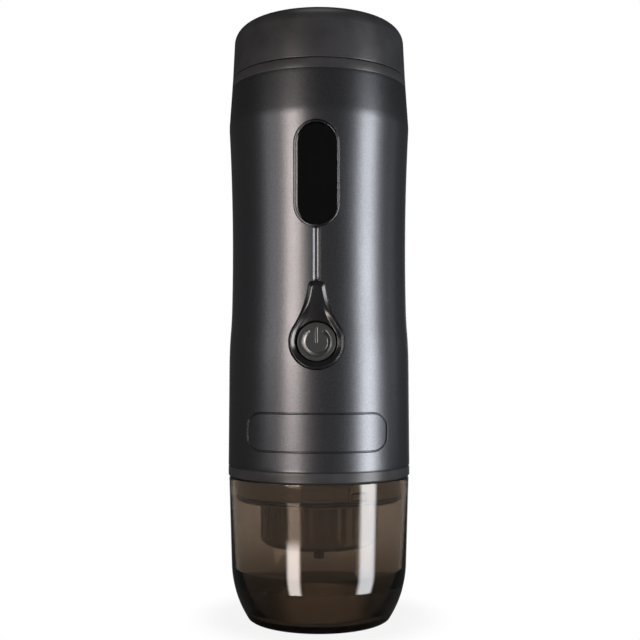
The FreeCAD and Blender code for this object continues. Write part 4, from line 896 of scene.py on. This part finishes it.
def on_button(outline, depth):
    """Puts an (x, z) outline on the button's face, at a depth under its round dish, whose hollow
    shrinks with the square of the distance from the middle."""
    span = np.hypot(outline[:, 0], outline[:, 1] - button_up)
    hollow = dish_depth * np.clip(1 - (span / dish_radius) ** 2, 0, 1)
    return at(outline[:, 0], -(button_face - depth - hollow), outline[:, 1])


whole_turn = np.linspace(0, 2 * np.pi, 129)[:-1]


def disc(radius, turn=whole_turn):
    """Points round the button's centre at a radius and at given angles."""
    return circled(turn, radius, (0, button_up))


def sign_ring(grow):
    """The open ring of the sign: its outer arc, a round end, its inner arc and the other round end."""
    half = sign_half + grow
    first, last = np.pi / 2 + sign_gap, 5 * np.pi / 2 - sign_gap
    long_way, end = np.linspace(first, last, 90), np.linspace(0, np.pi, 10)[1:-1]
    return np.concatenate([
        disc(sign_radius + half, long_way),
        circled(last + end, half, disc(sign_radius, last)),
        disc(sign_radius - half, long_way[::-1]),
        circled(first + np.pi + end, half, disc(sign_radius, first))])


def sign_bar(grow):
    """The bar of the sign, an upright slot with round ends."""
    top, bottom = (0, button_up + bar_high - bar_half), (0, button_up + bar_low + bar_half)
    bow = circled(np.linspace(0, np.pi, 11), bar_half + grow)
    return np.concatenate([top + bow, bottom - bow])


def engraved(outline, share):
    """A row of the sign's groove. Its floor slants: it grows deeper in even steps from the inner to the
    outer side of the ring."""
    span = np.hypot(outline[:, 0], outline[:, 1] - button_up)
    slant = np.clip((span - sign_radius) / sign_half / 2 + 0.5, 0, 1)
    return on_button(outline, share * (sign_shallow + (sign_deep - sign_shallow) * slant))


groove = [(0.05, 0.0), (0.0, 0.08), (-0.04, 0.5), (-0.09, 0.85), (-0.16, 0.97), (-0.26, 1.0)]
face_loops = [disc(button_radius - button_ease), sign_ring(groove[0][0]), sign_bar(groove[0][0])]
face_step = 0.4
face_lines = np.arange(-button_radius, button_radius, face_step)
face, face_faces = filled(face_loops, crossings(face_lines, face_lines + button_up), face_step / 2)
button_parts = [(on_button(face, 0.0), face_faces)]
for outline in (sign_ring, sign_bar):
    bed, bed_faces = filled([outline(groove[-1][0])])
    button_parts += [strip([engraved(outline(grow), share) for grow, share in groove]),
                     (engraved(bed, 1.0), bed_faces)]
flange_radius, flange_thick, button_depth = button_radius + 1.3, 1.1, button_face - button_base
sides = [(button_radius - short, depth) for short, depth in eased_edge(button_ease, 6)]
sides += [(button_radius, button_depth - flange_thick), (flange_radius, button_depth - flange_thick),
          (flange_radius, button_depth)]
back, back_faces = filled([disc(flange_radius)])
button_parts += [strip([on_button(disc(radius), depth) for radius, depth in sides]),
                 (on_button(back, button_depth), back_faces)]
# Satin ABS: a fine even matt tool, paler than the bezel round it, a touch greenish. The foil is a thin
# smooth metal layer, which lights up where the groove's slopes face a lamp.
button_abs = moulded("abs_grey_satin", "#373a39", "#424544", 0.3, 0.25, 0.012, IOR=1.54)
foil = moulded("silver_hot_stamp_foil", "#7c7d7e", "#8f9091", 0.3, 1.0, 0.004, Metallic=1.0)
button_cap = piece("power_button_cap", joined(*button_parts), button_abs, "button", ["power_button"],
                   35)
button_cap.data.materials.append(foil)
middles = np.array([face.center for face in button_cap.data.polygons]) * 1000
in_sign = np.any([within(middles[:, [0, 2]], outline(0.0)) for outline in (sign_ring, sign_bar)], 0)
in_sign &= middles[:, 1] < -(button_face - dish_depth - sign_deep - 0.2)
button_cap.data.polygons.foreach_set("material_index", in_sign.astype(np.int32))

# Port flap: the soft cover over the charging socket at the back, hinged on its own top edge.
# Moulded silicone with a rounded rim, and a tongue behind that plugs the socket.

flap_proud = 0.25
flap_section = [(-0.5, -flap_proud), (-0.25, -flap_proud + 0.04), (-0.07, -flap_proud + 0.16), (0.0, 0.1),
                (0.0, flap_depth - 0.1), (-0.1, flap_depth - 0.02)]
# Soft silicone on the outside takes a little hand polish, so it is smoother than the seals.
flap_rubber = moulded("silicone_rubber_matt_tool", "#1f1f20", "#2b2b2c", 0.48, 0.35, 0.03, IOR=1.41)
tongue_half, tongue_rise, tongue_corner, tongue_deep = 4.0, 0.9, 0.5, 1.0


def at_back(outline, depth):
    """Puts an (x, z) outline under the skin at the back."""
    return sunk(outline, depth, back=True)


def tongue_box(grow):
    """Outline of the tongue behind the flap, which plugs the socket."""
    return eased_box(tongue_half, port_up, tongue_rise, tongue_corner, grow, 6, 3)


tongue_section = [(0.0, flap_depth - 0.3), (0.0, flap_depth + tongue_deep - 0.25),
                  (-0.07, flap_depth + tongue_deep - 0.07), (-0.25, flap_depth + tongue_deep)]
piece("port_cover", joined(plate(port_box, flap_section, 0.9, at_back),
                           plate(tongue_box, tongue_section, 0.6, at_back)), flap_rubber, "flap",
      ["port_flap"], 45)

# Rim ring: the satin band round the tank's rim, under the cap.
# Black ABS, spark-eroded, pressed on to the tank; its edges are eased so that both seams read as lines.

ring_bottom_radius, ring_top_radius = belly_radius - 0.86, belly_radius - 1.1
ring_bore = neck_thread_radius + 0.1
piece("rim_band", turned(rounded([
    (ring_bore, housing_top, 0.1), (ring_bottom_radius, housing_top, 0.28),
    (ring_top_radius, ring_top, 0.28), (ring_bore, ring_top, 0.1)]), lines(256)), satin_abs, "main",
    ["rim_ring"])

# Cap: the shell that is unscrewed to fill the tank. Its liner, gasket and valve keep their CAD shape.
# Spark-eroded black ABS, ultrasonically welded to a polypropylene liner.

cap_radius, cap_bottom, cap_top = reach("cap_shell")
brow_radius, brow_bend = cap_radius - 0.98, 6.54
cap_bore, crown_bottom = brow_radius - 2.09, cap_top - 2.4
piece("cap_cover", turned(rounded([
    (0, cap_top), (brow_radius, cap_top, brow_bend), (cap_radius, cap_bottom, 0.3),
    (cap_bore, cap_bottom, 0.3), (cap_bore, crown_bottom, 3.0), (0, crown_bottom)], 14), lines(256)),
    satin_abs, "cap", ["cap_shell"])

# Floor and backdrop: a small round table board, and a white backdrop that fills the camera's view.
# They are not part of the maker. The board keeps the maker's shadow, and fades to plain white towards
# its edge, where it would only be a grey band in the picture.

floor_reach, shadow_reach, white_reach, floor_drop = 57.0, 34.0, 55.29, 0.02
board_white, through_white = 0.88, 0.3


def pale_floor():
    """Matt board that the camera sees as white, with the maker's faint shadow left on it. Gloss meets it
    as grey, and through the cup it looks a little lit."""
    made, tree = material("table_board_matt")
    place = add(tree, "ShaderNodeTexCoord").outputs["Object"]
    far = add(tree, "ShaderNodeVectorMath", {0: place}, operation="LENGTH").outputs["Value"]
    fade = add(tree, "ShaderNodeMapRange", {
        "Value": far, "From Min": shadow_reach / 1000, "From Max": white_reach / 1000,
        "To Min": board_white}, interpolation_type="SMOOTHSTEP").outputs["Result"]
    ray = add(tree, "ShaderNodeLightPath").outputs
    through = add(tree, "ShaderNodeMath", {0: ray["Is Transmission Ray"], 1: through_white},
                  operation="MULTIPLY").outputs["Value"]
    seen = add(tree, "ShaderNodeMath", {0: ray["Is Camera Ray"], 1: through},
               operation="MAXIMUM").outputs["Value"]
    share = add(tree, "ShaderNodeMath", {0: fade, 1: seen}, operation="MULTIPLY").outputs["Value"]
    colour = add(tree, "ShaderNodeMix", {
        0: ray["Is Camera Ray"], 6: linear("#7c7a78"), 7: linear("#f4f4f4")}, data_type="RGBA")
    board = add(tree, "ShaderNodeBsdfDiffuse", {"Color": colour.outputs[2]})
    light = add(tree, "ShaderNodeEmission", {"Strength": 1.0})
    mix = add(tree, "ShaderNodeMixShader", {
        0: share, 1: board.outputs["BSDF"], 2: light.outputs["Emission"]})
    add(tree, "ShaderNodeOutputMaterial", {"Surface": mix.outputs["Shader"]})
    return made


spread = np.linspace(0.001, floor_reach, 7)[:, None]
board = round_axis(whole_turn, spread, -floor_drop)
floor_mesh = bpy.data.meshes.new("floor")
floor_mesh.from_pydata((board.reshape(-1, 3) / 1000).tolist(), [], quads(*board.shape[:2], False, True))
floor_mesh.materials.append(pale_floor())
floor = bpy.data.objects.new("floor", floor_mesh)
bpy.context.scene.collection.objects.link(floor)

world = bpy.data.worlds.new("studio")
bpy.context.scene.world = world
world.use_nodes = True
sky = world.node_tree
sky.nodes.clear()
# Camera rays and rays through the cup meet plain white, and so does gloss right behind the maker.
# Elsewhere gloss meets a dim studio room, darker towards its ceiling and its floor.
direction = add(sky, "ShaderNodeTexCoord").outputs["Generated"]
heading = add(sky, "ShaderNodeSeparateXYZ", {"Vector": direction}).outputs
behind = add(sky, "ShaderNodeMapRange", {
    "Value": heading["Y"], "From Min": 0.93, "From Max": 0.99}).outputs["Result"]
ceiling = add(sky, "ShaderNodeMapRange", {
    "Value": heading["Z"], "From Min": 0.18, "From Max": 0.36,
    "To Min": 0.09, "To Max": 0.03}).outputs["Result"]
ground = add(sky, "ShaderNodeMapRange", {
    "Value": heading["Z"], "From Min": -0.16, "From Max": 0.0, "To Min": 0.5}).outputs["Result"]
dim = add(sky, "ShaderNodeMath", {0: ceiling, 1: ground}, operation="MULTIPLY").outputs["Value"]
ray = add(sky, "ShaderNodeLightPath").outputs
gloss = add(sky, "ShaderNodeMath", {0: ray["Is Glossy Ray"], 1: behind},
            operation="MULTIPLY").outputs["Value"]
room = add(sky, "ShaderNodeBackground", {"Color": linear("#d9dde2"), "Strength": dim})
white = add(sky, "ShaderNodeBackground", {"Color": (1, 1, 1, 1), "Strength": 1.0})
straight = add(sky, "ShaderNodeMath", {0: ray["Is Camera Ray"], 1: ray["Is Transmission Ray"]},
               operation="MAXIMUM").outputs["Value"]
share = add(sky, "ShaderNodeMath", {0: straight, 1: gloss}, operation="MAXIMUM").outputs["Value"]
both = add(sky, "ShaderNodeMixShader", {
    0: share, 1: room.outputs["Background"], 2: white.outputs["Background"]})
sky.links.new(both.outputs["Shader"], add(sky, "ShaderNodeOutputWorld").inputs["Surface"])

# Lamps: tall strip softboxes in front, as in a product studio, faint fills beside them, and panels
# behind and above. Each is placed by its angle round the maker, its distance, and the heights of its two
# ends; two strips reach below the table's top, so that their reflections run down to the cup's foot.

side_fade, end_fade = 0.25, 0.1


def softbox(name, angle, distance, low, high, width, radiance, colour, tilt=0):
    """Upright area lamp that faces the maker's axis, or down when it is tilted by 90 degrees. Its power
    is radiance times area times pi. Its cloth is dimmed by a smooth step at each side and end, over
    the share of its width or height that the fades give."""
    data = bpy.data.lights.new(name, "AREA")
    data.shape, data.size, data.size_y = "RECTANGLE", width / 1000, (high - low) / 1000
    data.energy = radiance * np.pi * data.size * data.size_y
    data.color = linear(colour)[:3]
    data.use_nodes = True
    data.node_tree.nodes.clear()
    tree = data.node_tree
    cloth = add(tree, "ShaderNodeNewGeometry").outputs["Parametric"]
    place = add(tree, "ShaderNodeSeparateXYZ", {"Vector": cloth}).outputs
    fades = []
    for way, fade in (("X", side_fade), ("Y", end_fade)):
        folded = add(tree, "ShaderNodeMath", {0: place[way], 1: 0.5}, operation="PINGPONG")
        soft = add(tree, "ShaderNodeMapRange", {"Value": folded.outputs["Value"], "From Max": fade},
                   interpolation_type="SMOOTHSTEP")
        fades.append(soft.outputs["Result"])
    share = add(tree, "ShaderNodeMath", {0: fades[0], 1: fades[1]}, operation="MULTIPLY").outputs["Value"]
    glow = add(tree, "ShaderNodeEmission", {"Strength": share}).outputs["Emission"]
    add(tree, "ShaderNodeOutputLight", {"Surface": glow})
    lamp = bpy.data.objects.new(name, data)
    turn = np.radians(angle)
    lamp.location = (distance * np.sin(turn) / 1000, -distance * np.cos(turn) / 1000, (low + high) / 2000)
    lamp.rotation_euler = (np.pi / 2 - np.radians(tilt), 0, turn)
    lamp.visible_camera = False
    bpy.context.scene.collection.objects.link(lamp)


softbox("left_strip", -31, 1000, 60, 420, 420, 9.3, "#fff1e8")
softbox("left_low_strip", -31, 1000, -640, -130, 370, 9.0, "#fff4ee")
softbox("left_fill", -60, 1000, 40, 460, 440, 1.2, "#ffffff")
softbox("right_strip", 65, 1000, -640, 500, 500, 7.7, "#fbfcff")
softbox("right_fill", 108, 1000, 0, 420, 200, 0.5, "#ffffff")
softbox("back_panel", 180, 1100, 0, 800, 500, 4.0, "#ffffff")
softbox("top_panel", 0, 0, 900, 1500, 600, 0.8, "#ffffff", 90)

# Camera: at the photograph's angle, a little to the right of the front and tilted up by 2.6 degrees.
# Distance and lens come from a fit to the maker's outline, whose axis is one pixel off the picture's.

camera_turn, camera_tilt = np.radians(1.5), np.radians(2.64)
camera_distance, camera_height, camera_lens, sensor = 401.0, 98.98, 56.1, 36.0
picture_width, axis_shift = 640, 1.0
aim = camera_turn - np.arctan(axis_shift / picture_width * sensor / camera_lens)
camera_data = bpy.data.cameras.new("camera")
camera_data.lens, camera_data.sensor_width = camera_lens, sensor
camera = bpy.data.objects.new("camera", camera_data)
camera.location = (camera_distance * np.sin(camera_turn) / 1000,
                   -camera_distance * np.cos(camera_turn) / 1000, camera_height / 1000)
camera.rotation_euler = (np.pi / 2 + camera_tilt, 0, aim)
bpy.context.scene.collection.objects.link(camera)
bpy.context.scene.camera = camera
bpy.context.scene.view_settings.view_transform = "Standard"
